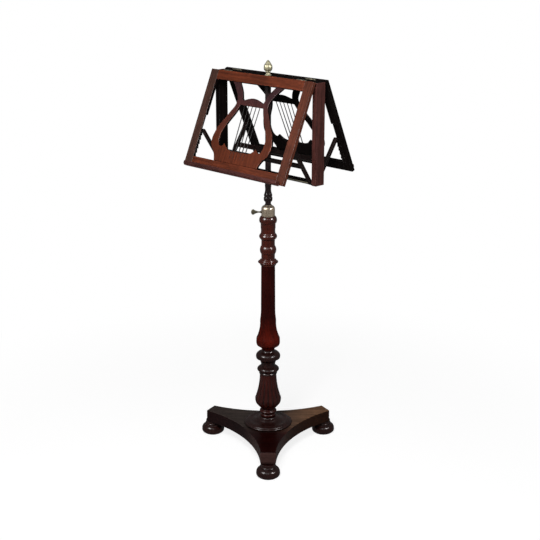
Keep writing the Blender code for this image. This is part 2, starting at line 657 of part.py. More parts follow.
def rebate(name, side, top, foot, pivot):
    """A tool that cuts the back of a stile's inner edge away for the rack and the strut's tip."""
    across = sorted((side * (REST_INSIDE - RACK_DEPTH), side * (RACK_OUTSIDE + GAP)))
    floor = REST_BACK + RACK_PROUD - RACK_DEPTH - GAP
    return box(name, (across[0], floor, foot + REST_BOTTOM_RAIL),
               (across[1], REST_BACK + RACK_DEPTH, top - RACK_TOP + REBATE_ABOVE_RACK), None, pivot)


def rack(name, side, top, foot, pivot):
    """Notched strip in a stile's rebate, below the strut's tip."""
    start = top - RACK_TOP
    end = foot + REST_BOTTOM_RAIL + GAP
    pitch = (start - end) / NOTCHES
    crest = REST_BACK + RACK_PROUD
    floor = crest - NOTCH_DEPTH
    points = [(crest - RACK_DEPTH, end), (crest - RACK_DEPTH, start)]
    for number in range(NOTCHES):
        level = start - number * pitch
        points += [(crest, level), (crest, level - NOTCH_LAND),
                   (floor, level - NOTCH_LAND - NOTCH_SLOPE)]
    points.append((crest, end))
    middle = side * (REST_INSIDE + RACK_OUTSIDE) / 2
    outline(name, [polygon(points)], RACK_OUTSIDE - REST_INSIDE, DARK_MAHOGANY, pivot, (middle, 0, 0),
            SIDEWAYS)


def hinge(name, across, frame_side, rest_pivot):
    """Butt hinge in two pieces: the fixed leaf holds the pin, the moving leaf turns on it."""
    half = HINGE_LENGTH / 2
    third = HINGE_LENGTH / 6
    near = GAP / 2
    far = near + LEAF_THICKNESS
    axis_y = -HINGE_Y
    fixed = box(f"{name}_fixed_leaf", (across - half, axis_y + near, HINGE_Z - LEAF_HEIGHT),
                (across + half, axis_y + far, HINGE_Z - LEAF_BELOW_AXIS), BRASS, frame_side)
    slot = box(f"cutter_{name}_fixed_slot",
               (across - third - GAP, axis_y - KNUCKLE_RADIUS, HINGE_Z - KNUCKLE_RADIUS - GAP),
               (across + third + GAP, axis_y + KNUCKLE_RADIUS, HINGE_Z + KNUCKLE_RADIUS), None, frame_side)
    combine(fixed, slot)
    for end, side in (("left", -1), ("right", 1)):
        knuckle = cylinder(f"cutter_{name}_{end}_knuckle", (across + side * (third + GAP), axis_y, HINGE_Z),
                           (across + side * half, axis_y, HINGE_Z), KNUCKLE_RADIUS, None, frame_side,
                           ROUND_STEPS)
        combine(fixed, knuckle, "UNION")
    pin = cylinder(f"cutter_{name}_pin", (across - half + third / 2, axis_y, HINGE_Z),
                   (across + half - third / 2, axis_y, HINGE_Z), HINGE_PIN_RADIUS, None, frame_side,
                   ROUND_STEPS)
    combine(fixed, pin, "UNION")

    moving = box(f"{name}_moving_leaf", (across - half, -far, -LEAF_HEIGHT),
                 (across + half, -near, -HINGE_DROP), BRASS, rest_pivot)
    neck = box(f"cutter_{name}_moving_neck", (across - third, -far, -NECK_HEIGHT),
               (across + third, -near, 0), None, rest_pivot)
    combine(moving, neck, "UNION")
    knuckle = cylinder(f"cutter_{name}_middle_knuckle", (across - third, 0, 0), (across + third, 0, 0),
                       KNUCKLE_RADIUS, None, rest_pivot, ROUND_STEPS)
    combine(moving, knuckle, "UNION")
    bore = cylinder(f"cutter_{name}_bore", (across - half, 0, 0), (across + half, 0, 0),
                    HINGE_PIN_RADIUS + SLIDE_FIT, None, rest_pivot, ROUND_STEPS)
    combine(moving, bore)


def strut(name, frame_side, pivot):
    """Prop with two legs and a crossbar, which swings on a rod across the frame."""
    round_end = STRUT_THICKNESS / 2
    shape = []
    bend_steps = 6
    for centre, first in ((0, math.pi), (STRUT_REACH, 0)):
        for step in range(bend_steps + 1):
            swing = first + math.pi * step / bend_steps
            shape.append((round_end * math.cos(swing), centre + round_end * math.sin(swing), True))
    middle = LEG_OUTSIDE - LEG_WIDTH / 2
    eye = circle(0, 0, ROD_RADIUS + SLIDE_FIT)
    for hand, side in (("left", -1), ("right", 1)):
        outline(f"{name}_{hand}_leg", [shape, eye], LEG_WIDTH, DARK_MAHOGANY, pivot, (side * middle, 0, 0),
                SIDEWAYS)
    inside = LEG_OUTSIDE - LEG_WIDTH - GAP
    thin = CROSSBAR_THICKNESS / 2
    box(f"{name}_crossbar", (-inside, -thin, CROSSBAR_MIDDLE - CROSSBAR_HEIGHT / 2),
        (inside, thin, CROSSBAR_MIDDLE + CROSSBAR_HEIGHT / 2), DARK_MAHOGANY, pivot)
    reach = FRAME_INSIDE + ROD_SEAT
    cylinder(f"{name}_rod", (-reach, -ROD_Y, ROD_Z), (reach, -ROD_Y, ROD_Z), ROD_RADIUS, BRASS, frame_side,
             ROUND_STEPS)


def main():
    platform()
    feet()
    pillar()
    post()
    desk = empty("desk_swivel", (0, 0, 0), rotation=(0, 0, DESK_TURN))
    desk_frame(desk)
    for name, turn in (("front", 0), ("back", math.pi)):
        side = empty(f"{name}_side", (0, 0, 0), desk, (0, 0, turn))
        rest_pivot = empty(f"{name}_rest_hinge", (0, -HINGE_Y, HINGE_Z), side, (-READING_ANGLE, 0, 0))
        strut_pivot = empty(f"{name}_strut_hinge", (0, -ROD_Y, ROD_Z), side, (STRUT_ANGLE, 0, 0))
        rest(name, rest_pivot)
        for hand, across in (("left", -HINGE_OFFSET), ("right", HINGE_OFFSET)):
            hinge(f"{name}_{hand}_hinge", across, side, rest_pivot)
        strut(f"{name}_strut", side, strut_pivot)


main()
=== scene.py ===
"""Dresses the duet music stand: turned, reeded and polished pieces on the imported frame.

Metres, in the frame's own axes: +Z up along the pillar, the front foot towards -Y.
"""
import json
import math

import bmesh
import bpy
from bpy.props import FloatProperty, FloatVectorProperty, IntProperty, PointerProperty
from mathutils import Matrix, Vector

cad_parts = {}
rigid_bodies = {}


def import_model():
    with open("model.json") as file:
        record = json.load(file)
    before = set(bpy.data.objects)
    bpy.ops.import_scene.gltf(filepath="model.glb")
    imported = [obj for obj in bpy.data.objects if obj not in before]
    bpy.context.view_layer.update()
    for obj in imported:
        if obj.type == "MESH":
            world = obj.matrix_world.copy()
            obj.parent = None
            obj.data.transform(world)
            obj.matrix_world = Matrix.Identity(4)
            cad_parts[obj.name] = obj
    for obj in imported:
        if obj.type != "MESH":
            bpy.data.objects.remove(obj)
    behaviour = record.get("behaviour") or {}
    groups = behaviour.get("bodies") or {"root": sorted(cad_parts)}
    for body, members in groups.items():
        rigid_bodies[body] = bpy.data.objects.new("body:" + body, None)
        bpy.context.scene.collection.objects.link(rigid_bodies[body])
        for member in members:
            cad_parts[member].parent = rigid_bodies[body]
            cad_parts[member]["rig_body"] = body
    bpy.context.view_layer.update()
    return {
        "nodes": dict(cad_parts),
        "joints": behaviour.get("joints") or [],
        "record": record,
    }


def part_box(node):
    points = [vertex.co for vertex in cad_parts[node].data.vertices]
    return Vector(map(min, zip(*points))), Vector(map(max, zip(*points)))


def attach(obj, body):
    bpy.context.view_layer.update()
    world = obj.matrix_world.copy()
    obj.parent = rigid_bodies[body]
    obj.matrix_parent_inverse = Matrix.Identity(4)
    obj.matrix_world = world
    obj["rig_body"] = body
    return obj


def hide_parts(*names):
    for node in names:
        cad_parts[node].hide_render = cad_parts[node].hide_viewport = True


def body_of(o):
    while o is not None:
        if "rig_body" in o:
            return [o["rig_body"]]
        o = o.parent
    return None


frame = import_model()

bl_info = {
    "name": "Duet Music Stand",
    "version": (1, 0, 0),
    "blender": (4, 5, 0),
    "location": "3D View > Sidebar > Music Stand",
    "description": "Turns, carves, polishes and lights a duet music stand on its packed frame",
    "category": "Object",
}

MM = 0.001
UP = Vector((0, 0, 1))
JOINTS = {joint["name"]: joint for joint in frame["joints"]}
SIDES = ("front", "back")
HANDS = ("left", "right")
WELD = 0.01 * MM
CLEARANCE = 0.3 * MM
RIGHT_ANGLE = math.radians(90)

# Places of the factor and the two colours among the inputs of a colour mix, and of its result
MIX_INPUTS = (0, 6, 7)
MIX_RESULT = 2

# Turned marks, from the foot of each piece upwards: radius, height, hollow (-) or swell (+) of the
# stretch that leads up to the mark, in millimetres
FOOT_MARKS = (
    (31, 0, 0), (32.5, 1.5, 0.5), (39.5, 11, 2), (39.3, 14, 0.2), (28.5, 30.5, 3.4), (28.5, 32, 0),
    (25.5, 33, 0), (26, 37, 1.6), (24.5, 38, 0), (24.5, 46, 0),
)
FLANGE_MARKS = (
    (79.5, 0, 0), (79.5, 6, 2), (76.5, 7, 0), (76, 8.5, 0), (66, 11.5, 1), (64.5, 12.5, 0), (40, 17.5, -3),
    (35, 20, 0.6), (34, 21, 0), (29, 25, -1),
)
BALUSTER_MARKS = (
    (23, 0, 0), (24, 9, 2), (22, 10.5, 0), (22, 13.5, 0), (22.5, 26, 6.8), (22.5, 30, -0.5),
    (45, 66, 6), (28.5, 152, -3.5), (28.5, 157, 0), (30, 158, 0), (30, 162, 0.8), (28.5, 164, 0),
    (28, 184, 9), (25, 185.5, 0), (25, 197, -1), (40, 214, -3), (34, 234, 4), (30, 236, 0),
    (21, 245.7, -2.4),
)
SHAFT_MARKS = (
    (21, 0, 0), (29.5, 11, -1), (39, 24, 2), (39, 38, 1), (27, 103, -4), (24, 150, -1), (23, 297.7, 0),
)
HEAD_MARKS = (
    (26, 0, 0), (27, 5, 0.4), (32.8, 9, -0.6), (32.8, 12.5, 0.8), (27, 18, -0.8), (25.5, 19, 0),
    (22.5, 25, -2), (22.5, 38, 0), (23.5, 39, 0), (23.5, 65, 3.8), (22.5, 66, 0), (22.3, 82, 0),
    (22.8, 88, 0), (25, 89.5, 0), (25.5, 107, 4.4), (24.5, 108, 0), (24.5, 127, -1), (24.5, 143, 0),
    (29, 150, 1), (27, 163, 1), (24, 166.7, 0),
)
KNOP_MARKS = (
    (10, 0, 0), (14.2, 9, 1.5), (12.5, 17, 1), (13.5, 24, 0.5), (10.5, 51, -2), (10.5, 68, 0), (14.5, 74, -1),
    (14.5, 86.5, 0.4), (13.5, 88, 0),
)
FINIAL_MARKS = (
    (10.3, 0, 0), (10, 2, 0.5), (7, 10, -1.5), (7.5, 13, 0.5), (13.8, 24, 2), (9, 38, 1.5), (0, 49, 1),
)

# Base, from the pillar's axis, with the places between which its tone changes along X and Y. Along X the top
# is drawn lighter towards the right arm, a painted reflection
ARMS = 3
ARM_WIDTH = 51 * MM
WAIST_RADIUS = 95 * MM
ARM_ARC_STEPS = 36
REFLECTION_START = 20 * MM
REFLECTION_END = 170 * MM
ARM_DARK_START = -30 * MM
ARM_DARK_END = -95 * MM
RIGHT_SIDE_START = 50 * MM
RIGHT_SIDE_END = 110 * MM
SIDE_DARK = -40 * MM
SIDE_PALE = -130 * MM

# Shaft's tone, heights between which it turns to a brighter red towards its foot, a painted sheen
SHAFT_DARK = 480 * MM
SHAFT_RED = 410 * MM

# Lyre's tone, heights between which it turns from orange to brown
LYRE_ORANGE = 1.08
LYRE_BROWN = 1.22

# Reeds of the vase, heights above the baluster's foot. The ground between them starts to sink at a share of
# their tips' height, and its dark line, a painted shade in the groove, fades out over a share of each reed's
# width on either side
REED_TIP = 42 * MM
REED_TOP = 152 * MM
REED_FADE = 26 * MM
REED_GROUND = 0.75
REED_SPACING = 1.6 * MM
STEPS_PER_REED = 12
GROOVE_SHADE = 0.12
GROOVE_HALF = 0.26
GROOVE_FADE = 8 * MM

# Shaft, heights above its foot, and the angle in degrees from which an edge looks sharp
FLATS = 8
FLATS_START = 9 * MM
FLATS_END = 289 * MM
FLATS_FADE = 10 * MM
FLATS_SPACING = 6 * MM
STEPS_PER_FLAT = 16
FLATS_CREASE = 14

# Collar: side as millimetres in from its radius and up from its foot, straight part, dome and lip. The bore
# is a share of the knop's radius, for the washer too
COLLAR_SIDE = ((0.6, 0), (0, 0.6), (0, 2.4), (0.5, 2.9), (0.5, 3.6), (0, 4.1))
COLLAR_STRAIGHT = 23 * MM
COLLAR_DOME = 12 * MM
COLLAR_LIP = 2.5 * MM
DOME_STEPS = 12
BORE_SHARE = 0.68
ROUND_OVER = 0.5 * MM

# Thumbscrew: marks of the shank as radius and distance beyond the collar in millimetres, then the tab,
# outwards from the collar
SHANK_RADIUS = 3 * MM
SHANK_MARKS = ((3, 0), (4.6, 0.3), (4.6, 2), (3, 2.6), (2.4, 6), (2.6, 11), (1.6, 12.4))
SHANK_STEPS = 32
TAB_ROOT = 10.5 * MM
TAB_LENGTH = 15 * MM
TAB_HEIGHT = 17 * MM
TAB_WAIST = 9.5 * MM
TAB_NECK = 5 * MM
TAB_THICKNESS = 4.5 * MM
TAB_EDGE = 1.2 * MM

# Post: it widens from its foot up to a share of the height at which the desk's frame begins
POST_RADIUS = 9.5 * MM
POST_TAPER = 0.2 * MM
POST_FULL = 0.88
STUB_RADIUS = 5 * MM
POST_STEPS = 48

# Finial: its lobes begin above one of its marks and fade at both ends
BUD_MARK = 3
BUD_SPACING = 1.2 * MM
LOBE_START = 3 * MM
LOBE_END = 14 * MM
LEAST_RADIUS = 0.05 * MM
STEPS_PER_LOBE = 10

# Sawn pieces: rounding as a share of the wooden edge, and the angle in degrees from which an edge is rounded
PLAIN_EASE = (1.0, 50)
LEDGE_EASE = (0.6, 30)
STRUT_EASE = (0.8, 40)
RACK_EASE = (0.4, 40)
PLATFORM_SHARPNESS = 40
LEAF_SHARPNESS = 60

# A face looks along an axis where its normal has this share of it
FACING = 0.5
LYRE_FACING = 0.2

# Lyre: right half, across from the middle and down from the rest's top edge; True marks a corner
LYRE_OUTER = (
    (113, None, True), (88, 60, False), (71, 93, False), (92, 136, False), (127, 192, False),
    (133, 236, False), (106, 274, False), (98, None, True),
)
LYRE_ARM_INNER = ((80, None, True), (58, 62, False), (47, 88, True))
YOKE_CREST = 77
LYRE_WINDOW = (
    (51, 103, True), (62, 128, False), (88, 172, False), (102, 213, False), (90, 243, False), (71, 234, True),
    (54, 248, False), (38, 253, True),
)
INLAY_END = 276
INLAY_GAP = 1 * MM
INLAY_PROUD = 0.25 * MM
INLAY_SPREAD = 0.88
STRINGS = 5
STRING_STEPS = 12
STRING_TAPER = 0.8
BAR_EASE = 0.35

# Screws of the hinges, and the angle in degrees from which a leaf's edge looks sharp
SCREW_HEAD_RADIUS = 2.1 * MM
SCREW_HEAD_PROUD = 0.1 * MM
SCREW_HEAD_STEPS = 20
SCREW_FACE = 0.15 * MM
SCREW_RIM = 0.5 * MM
SCREW_DROP = 9.5 * MM
SCREW_SPREAD = 13 * MM
LEAF_CREASE = 30

# Woods: polish as a share of the polish setting, and contrast of the grain. Then wear along edges, partly a
# painted highlight, and brass
WOODS = {
    "mahogany": (1.0, 0.8), "left_stile": (1.0, 0.8), "right_stile": (1.0, 0.8), "lyre": (1.0, 0.6),
    "pillar": (0.5, 0.8), "head": (2.0, 0.8), "dark": (0.8, 0.8), "strut": (0.6, 0.7), "inside": (0.15, 0.6),
    "base": (1.3, 0.7), "vase": (1.2, 0.7), "platform": (0.6, 0.7), "platform_side": (0.6, 0.7),
    "post": (1.4, 0.7), "ebony": (0.5, 0.4),
}
GRAIN_STRETCH = 0.045
STREAK_DARK = 0.55
STREAK_PALE = 0.75
WEAR_HIGHLIGHT_GAIN = 1.6
WEAR_HIGHLIGHT_PALE = 0.08
WEAR_HIGHLIGHT_WIDTH = 2.2 * MM
BRUSH_STRETCH = 14
TARNISHED_METAL = 0.4
DULL_METAL = 0.06
TARNISH = (0.5, 0.46, 0.42)

# Near the stand the floor leaves this share of its white to the lamps, so that the stand's shadow shows
SHADOW_SHARE = 0.16
SHADOW_NEAR = 0.35
SHADOW_FAR = 1.6
LAMPLIGHT_ON_FLOOR = 0.49
FLOOR_STEPS = 64


class TurningSettings(bpy.types.PropertyGroup):
    """Sizes of the turned and carved pieces."""
    steps: IntProperty(name="Steps", description="Steps round a turned piece", default=96, min=24)
    arc_steps: IntProperty(name="Arc steps", description="Steps along a hollow or swell", default=9, min=2)
    reeds: IntProperty(name="Reeds", description="Reeds round the vase", default=16, min=6)
    reed_depth: FloatProperty(name="Reed depth", description="Reed's crest above the ground between reeds",
                              default=2.2 * MM, min=0, unit="LENGTH")
    corner_cut: FloatProperty(name="Corner cut", description="Taken off the shaft's corners",
                              default=0.5 * MM, min=0, unit="LENGTH")
    bud_lobes: IntProperty(name="Bud lobes", description="Lobes round the finial", default=8, min=3)
    bud_depth: FloatProperty(name="Bud depth", description="Depth of the lines between the finial's lobes",
                             default=1.1 * MM, min=0, unit="LENGTH")


class JoinerySettings(bpy.types.PropertyGroup):
    """Sizes of the flat and sawn pieces."""
    edge: FloatProperty(name="Edge", description="Rounding of the wooden edges", default=0.9 * MM, min=0,
                        unit="LENGTH")
    lyre_edge: FloatProperty(name="Lyre edge", description="Rounding of the fret-cut edges", default=1.5 * MM,
                             min=0, unit="LENGTH")
    platform_edge: FloatProperty(name="Platform edge", description="Rounding of the base's edges",
                                 default=2.5 * MM, min=0, unit="LENGTH")
    brass_edge: FloatProperty(name="Brass edge", description="Rounding of the brass edges", default=0.2 * MM,
                              min=0, unit="LENGTH")
    inlay_width: FloatProperty(name="Inlay width", description="Width of the dark lines below the strings",
                               default=1.3 * MM, min=0, unit="LENGTH")


class FinishSettings(bpy.types.PropertyGroup):
    """Colours and polish."""
    mahogany: FloatVectorProperty(name="Mahogany", description="Outer faces of the rests", subtype="COLOR",
                                  default=(0.18, 0.038, 0.0145), min=0, max=1)
    pillar: FloatVectorProperty(name="Pillar", description="Eight-sided shaft", subtype="COLOR",
                                default=(0.034, 0.003, 0.0022), min=0, max=1)
    head: FloatVectorProperty(name="Head", description="Turned head of the pillar", subtype="COLOR",
                              default=(0.07, 0.0078, 0.0022), min=0, max=1)
    # Painted sheen: the foot of the shaft is drawn a brighter red than the shaft above
    bulb_sheen: FloatVectorProperty(name="Bulb", description="Foot of the shaft", subtype="COLOR",
                              default=(0.1, 0.008, 0.0036), min=0, max=1)
    # Painted shade: the outer face of each rest's left stile is drawn darker and more purple than its rails
    left_stile: FloatVectorProperty(name="Left stile", description="Left stile of each rest", subtype="COLOR",
                                    default=(0.098, 0.044, 0.031), min=0, max=1)
    right_stile: FloatVectorProperty(name="Right stile", description="Right stile of each rest",
                                     subtype="COLOR", default=(0.146, 0.038, 0.019), min=0, max=1)
    post: FloatVectorProperty(name="Post", description="Sliding post", subtype="COLOR",
                              default=(0.041, 0.0235, 0.0235), min=0, max=1)
    platform: FloatVectorProperty(name="Platform", description="Three-armed platform", subtype="COLOR",
                                  default=(0.056, 0.04, 0.034), min=0, max=1)
    platform_side: FloatVectorProperty(name="Platform side", description="Sides of the left arm",
                                       subtype="COLOR", default=(0.0168, 0.006, 0.006), min=0, max=1)
    right_arm_side: FloatVectorProperty(name="Faded side", description="Sides of the right arm", subtype="COLOR",
                                    default=(0.034, 0.011, 0.0045), min=0, max=1)
    front_side: FloatVectorProperty(name="Front side", description="Sides of the front arm", subtype="COLOR",
                                    default=(0.066, 0.031, 0.027), min=0, max=1)
    front_arm: FloatVectorProperty(name="Front arm", description="Front arm of the base", subtype="COLOR",
                                   default=(0.018, 0.0022, 0.0018), min=0, max=1)
    yoke: FloatVectorProperty(name="Yoke", description="Upper part of the lyres", subtype="COLOR",
                              default=(0.063, 0.0225, 0.0255), min=0, max=1)
    dark: FloatVectorProperty(name="Dark mahogany", description="Frame and ledges", subtype="COLOR",
                              default=(0.112, 0.036, 0.03), min=0, max=1)
    # Painted shade: the struts are drawn near black, as in the shade under the rests
    strut: FloatVectorProperty(name="Strut", description="Legs and crossbars of the struts", subtype="COLOR",
                               default=(0.015, 0.0075, 0.007), min=0, max=1)
    # Painted shade: faces turned into the desk, the rests' backs and edges, the racks and the frame's shaded
    # faces are drawn near black
    inside: FloatVectorProperty(name="Inside", description="Faces turned to the inside of the desk",
                                subtype="COLOR", default=(0.0085, 0.0058, 0.0055), min=0, max=1)
    base: FloatVectorProperty(name="Base", description="Feet, flange and knops", subtype="COLOR",
                              default=(0.026, 0.008, 0.0065), min=0, max=1)
    vase: FloatVectorProperty(name="Vase", description="Reeded vase of the baluster", subtype="COLOR",
                              default=(0.052, 0.0085, 0.0058), min=0, max=1)
    ebony: FloatVectorProperty(name="Ebony", description="Strings and inlaid lines", subtype="COLOR",
                               default=(0.012, 0.010, 0.010), min=0, max=1)
    brass: FloatVectorProperty(name="Brass", description="Collar and washer", subtype="COLOR",
                               default=(0.2, 0.165, 0.125), min=0, max=1)
    dark_brass: FloatVectorProperty(name="Dark brass", description="Thumbscrew, hinges and rods",
                                    subtype="COLOR", default=(0.075, 0.068, 0.048), min=0, max=1)
    pale_brass: FloatVectorProperty(name="Pale brass", description="Finial", subtype="COLOR",
                                    default=(0.27, 0.25, 0.165), min=0, max=1)
    # Painted reflection: the top of the right arm is drawn a lighter brown
    painted_reflection: FloatVectorProperty(name="Faded", description="Base where the light has bleached it",
                               subtype="COLOR", default=(0.26, 0.132, 0.07), min=0, max=1)
    polish: FloatProperty(name="Polish", description="Weight of the polish on the wood", subtype="FACTOR",
                          default=0.1, min=0, max=1)
    polish_roughness: FloatProperty(name="Polish roughness", description="Roughness of the polish",
                                    subtype="FACTOR", default=0.26, min=0, max=1)


class StageSettings(bpy.types.PropertyGroup):
    """Floor, light and camera."""
    floor_radius: FloatProperty(name="Floor radius", description="Radius of the round floor", default=40.0,
                                min=1, unit="LENGTH")
    floor_colour: FloatVectorProperty(name="Floor", description="Colour of the floor", subtype="COLOR",
                                      default=(0.6, 0.6, 0.6), min=0, max=1)
    fill: FloatProperty(name="Fill", description="Strength of the light from all round", default=0.06, min=0)
    key_power: FloatProperty(name="Key power", description="Power of the large front lamp",
                             default=78.0, min=0, unit="POWER")
    key_size: FloatProperty(name="Key size", description="Side of the front lamp", default=1.1, min=0.01,
                            unit="LENGTH")
    key_distance: FloatProperty(name="Key distance", description="Stand to front lamp", default=3.0, min=0.1,
                                unit="LENGTH")
    key_turn: FloatProperty(name="Key turn", description="Front lamp's turn from the camera",
                            default=math.radians(-8), subtype="ANGLE")
    key_rise: FloatProperty(name="Key rise", description="Front lamp above the horizon",
                            default=math.radians(36), subtype="ANGLE")
    side_power: FloatProperty(name="Side power", description="Power of each lamp that only gives shine",
                              default=290.0, min=0, unit="POWER")
    side_size: FloatProperty(name="Side size", description="Side of each shine lamp", default=0.65, min=0.01,
                             unit="LENGTH")
    side_distance: FloatProperty(name="Side distance", description="Stand to side lamp", default=2.2, min=0.1,
                                 unit="LENGTH")
    side_turn: FloatProperty(name="Side turn", description="Each side lamp's turn from the camera",
                             default=math.radians(54), subtype="ANGLE")
    side_rise: FloatProperty(name="Side rise", description="Side lamps above the horizon",
                             default=math.radians(30), subtype="ANGLE")
    target: FloatProperty(name="Target", description="Height that the lamps point at", default=0.85,
                          unit="LENGTH")
    camera_place: FloatVectorProperty(name="Camera", description="Place of the camera", subtype="XYZ",
                                      default=(0.0, -3.5593, 1.7411), unit="LENGTH")
    camera_tilt: FloatProperty(name="Camera tilt", description="Camera's fall below the horizon",
                               default=math.radians(17.2), subtype="ANGLE")
    camera_lens: FloatProperty(name="Lens", description="Focal length in millimetres", default=74.77, min=1)
    camera_shift: FloatProperty(name="Shift", description="Sideways shift of the picture", default=0.0035)


# Materials

def feed(tree, socket, value):
    """Sets an input, or links it to another node's output."""
    if isinstance(value, bpy.types.NodeSocket):
        tree.links.new(value, socket)
    else:
        socket.default_value = value


def add_node(tree, kind, inputs=None, **settings):
    """Adds a shader node; an input is a number, a colour or another node's output."""
    made = tree.nodes.new(f"ShaderNode{kind}")
    for name, value in settings.items():
        setattr(made, name, value)
    for name, value in (inputs or {}).items():
        feed(tree, made.inputs[name], value)
    return made


def ramp(tree, factor, *stops):
    """A colour ramp from place and grey level, or place and colour, pairs."""
    made = add_node(tree, "ValToRGB", {"Fac": factor})
    elements = made.color_ramp.elements
    while len(elements) < len(stops):
        elements.new(1)
    for element, (place, value) in zip(elements, stops):
        element.position = place
        element.color = (*value, 1) if isinstance(value, tuple) else (value, value, value, 1)
    return made.outputs["Color"]


def mixed(tree, factor, colour, other, blend="MIX"):
    made = add_node(tree, "Mix", data_type="RGBA", blend_type=blend)
    for place, value in zip(MIX_INPUTS, (factor, colour, other)):
        feed(tree, made.inputs[place], value)
    return made.outputs[MIX_RESULT]


def multiplied(tree, colour, other, factor=1.0):
    return mixed(tree, factor, colour, other, "MULTIPLY")


def calculated(tree, operation, *values):
    return add_node(tree, "Math", dict(enumerate(values)), operation=operation).outputs[0]


def ranged(tree, value, start, end, low=0.0, high=1.0, kind="LINEAR"):
    """Low at the start, high at the end, and in between on the way."""
    inputs = {"Value": value, "From Min": start, "From Max": end, "To Min": low, "To Max": high}
    return add_node(tree, "MapRange", inputs, interpolation_type=kind).outputs["Result"]


def mapped(tree, place, rotation=(0, 0, 0), scale=(1, 1, 1)):
    inputs = {"Vector": place, "Rotation": rotation, "Scale": scale}
    return add_node(tree, "Mapping", inputs).outputs["Vector"]


def noise(tree, place, scale, detail, roughness, distortion=0.0):
    inputs = {"Vector": place, "Scale": scale, "Detail": detail, "Roughness": roughness,
              "Distortion": distortion}
    return add_node(tree, "TexNoise", inputs).outputs["Fac"]


def bump(tree, height, strength, distance, under=None):
    """A relief's normal, on top of another one where that is given."""
    made = add_node(tree, "Bump", {"Height": height, "Strength": strength, "Distance": distance})
    if under is not None:
        feed(tree, made.inputs["Normal"], under)
    return made.outputs["Normal"]


def shaded(colour, gain):
    return tuple(min(1.0, channel * gain) for channel in colour)


def change(colour, other):
    return tuple(end / start for start, end in zip(colour, other))


def new_material(name, **values):
    """A material with its shader's plain values set, and the shader and tree to go on with."""
    material = bpy.data.materials.new(name)
    material.use_nodes = True
    tree = material.node_tree
    shader = tree.nodes["Principled BSDF"]
    for socket, value in values.items():
        shader.inputs[socket.replace("_", " ").title().replace("Ior", "IOR")].default_value = value
    return material, tree, shader


def hollows(tree, reach, darkest):
    """Dark in the hollows of mouldings, by ambient occlusion, and 1 on open faces."""
    dirt = add_node(tree, "AmbientOcclusion", {"Distance": reach}, samples=8)
    return ramp(tree, dirt.outputs["AO"], (0.25, darkest), (0.8, 1.0))


def worn_and_highlit_edges(tree, cloud):
    """Wear and painted highlight: 0 on flats, and more along edges, where the hand's rub comes and goes and
    the edge is drawn paler as a painted highlight.
    """
    rounded = add_node(tree, "Bevel", {"Radius": WEAR_HIGHLIGHT_WIDTH}, samples=6).outputs["Normal"]
    plain = add_node(tree, "NewGeometry").outputs["Normal"]
    both = add_node(tree, "VectorMath", {0: rounded, 1: plain}, operation="DOT_PRODUCT")
    edge = ramp(tree, both.outputs["Value"], (0.75, 0.8), (0.985, 0.0))
    return multiplied(tree, edge, ramp(tree, cloud, (0.35, 0.3), (0.65, 1.0)))


def graded(tree, grain, place, axis, start, end, gain):
    """The grain's colour, which turns to another tone along an axis."""
    along = add_node(tree, "SeparateXYZ", {"Vector": place}).outputs[axis]
    return multiplied(tree, grain, (*gain, 1), ranged(tree, along, start, end))


def shaded_grooves(tree, grain, place):
    """The grain's colour with painted shade in the grooves between the reeds of the vase."""
    part = add_node(tree, "SeparateXYZ", {"Vector": place}).outputs
    reeds = bpy.context.scene.stand_turning.reeds / (2 * math.pi)
    turns = calculated(tree, "MULTIPLY", calculated(tree, "ARCTAN2", part["Y"], part["X"]), reeds)
    line = ramp(tree, calculated(tree, "FRACT", turns), (0.0, GROOVE_SHADE), (GROOVE_HALF, 1.0),
                (1 - GROOVE_HALF, 1.0), (1.0, GROOVE_SHADE))
    foot = baluster_foot()
    ends = [ranged(tree, part["Z"], foot + start, foot + end)
            for start, end in ((REED_TIP, REED_TIP + GROOVE_FADE), (REED_TOP, REED_TOP - REED_FADE))]
    return multiplied(tree, grain, line, calculated(tree, "MULTIPLY", *ends))


def wood(name, colour, along, polish, polish_roughness, contrast, grades, reeded):
    """Polished wood: streaks, pores and a ripple of the hand along the grain, darker in the hollows by
    ambient occlusion.
    """
    material, tree, shader = new_material(
        name, coat_weight=polish, coat_roughness=polish_roughness, coat_ior=1.5, specular_ior_level=0.0)
    place = add_node(tree, "TexCoord").outputs["Object"]
    board = mapped(tree, place, rotation=Vector(along).to_track_quat("Z", "Y").inverted().to_euler())
    long_grain = mapped(tree, board, scale=(1, 1, GRAIN_STRETCH))
    streak = noise(tree, long_grain, scale=150.0, detail=6.0, roughness=0.6, distortion=0.7)
    cloud = noise(tree, board, scale=14.0, detail=3.0, roughness=0.5, distortion=0.4)
    pore = noise(tree, long_grain, scale=950.0, detail=2.0, roughness=0.5)
    grain = ramp(tree, streak, (0.28, shaded(colour, 1 - STREAK_DARK * contrast)), (0.52, tuple(colour)),
                 (0.74, shaded(colour, 1 + STREAK_PALE * contrast)))
    for grade in grades:
        grain = graded(tree, grain, place, *grade)
    grain = multiplied(tree, grain, ramp(tree, cloud, (0.3, 0.62), (0.7, 1.0)))
    grain = multiplied(tree, grain, ramp(tree, pore, (0.30, 0.35), (0.44, 1.0)), factor=0.8)
    grain = multiplied(tree, grain, hollows(tree, reach=9 * MM, darkest=0.3))
    if reeded:
        # Painted shade in the grooves between the reeds
        grain = shaded_grooves(tree, grain, place)
    # Edges drawn paler: wear, and a painted highlight
    rubbed_and_highlit = (*(WEAR_HIGHLIGHT_GAIN * channel + WEAR_HIGHLIGHT_PALE for channel in colour), 1)
    feed(tree, shader.inputs["Base Color"], mixed(tree, worn_and_highlit_edges(tree, cloud), grain, rubbed_and_highlit))
    feed(tree, shader.inputs["Roughness"], ramp(tree, streak, (0.3, 0.62), (0.7, 0.45)))
    relief = bump(tree, pore, strength=0.25, distance=0.1 * MM)
    feed(tree, shader.inputs["Normal"], relief)
    ripple = bump(tree, cloud, strength=0.16, distance=2 * MM, under=relief)
    feed(tree, shader.inputs["Coat Normal"], ripple)
    return material


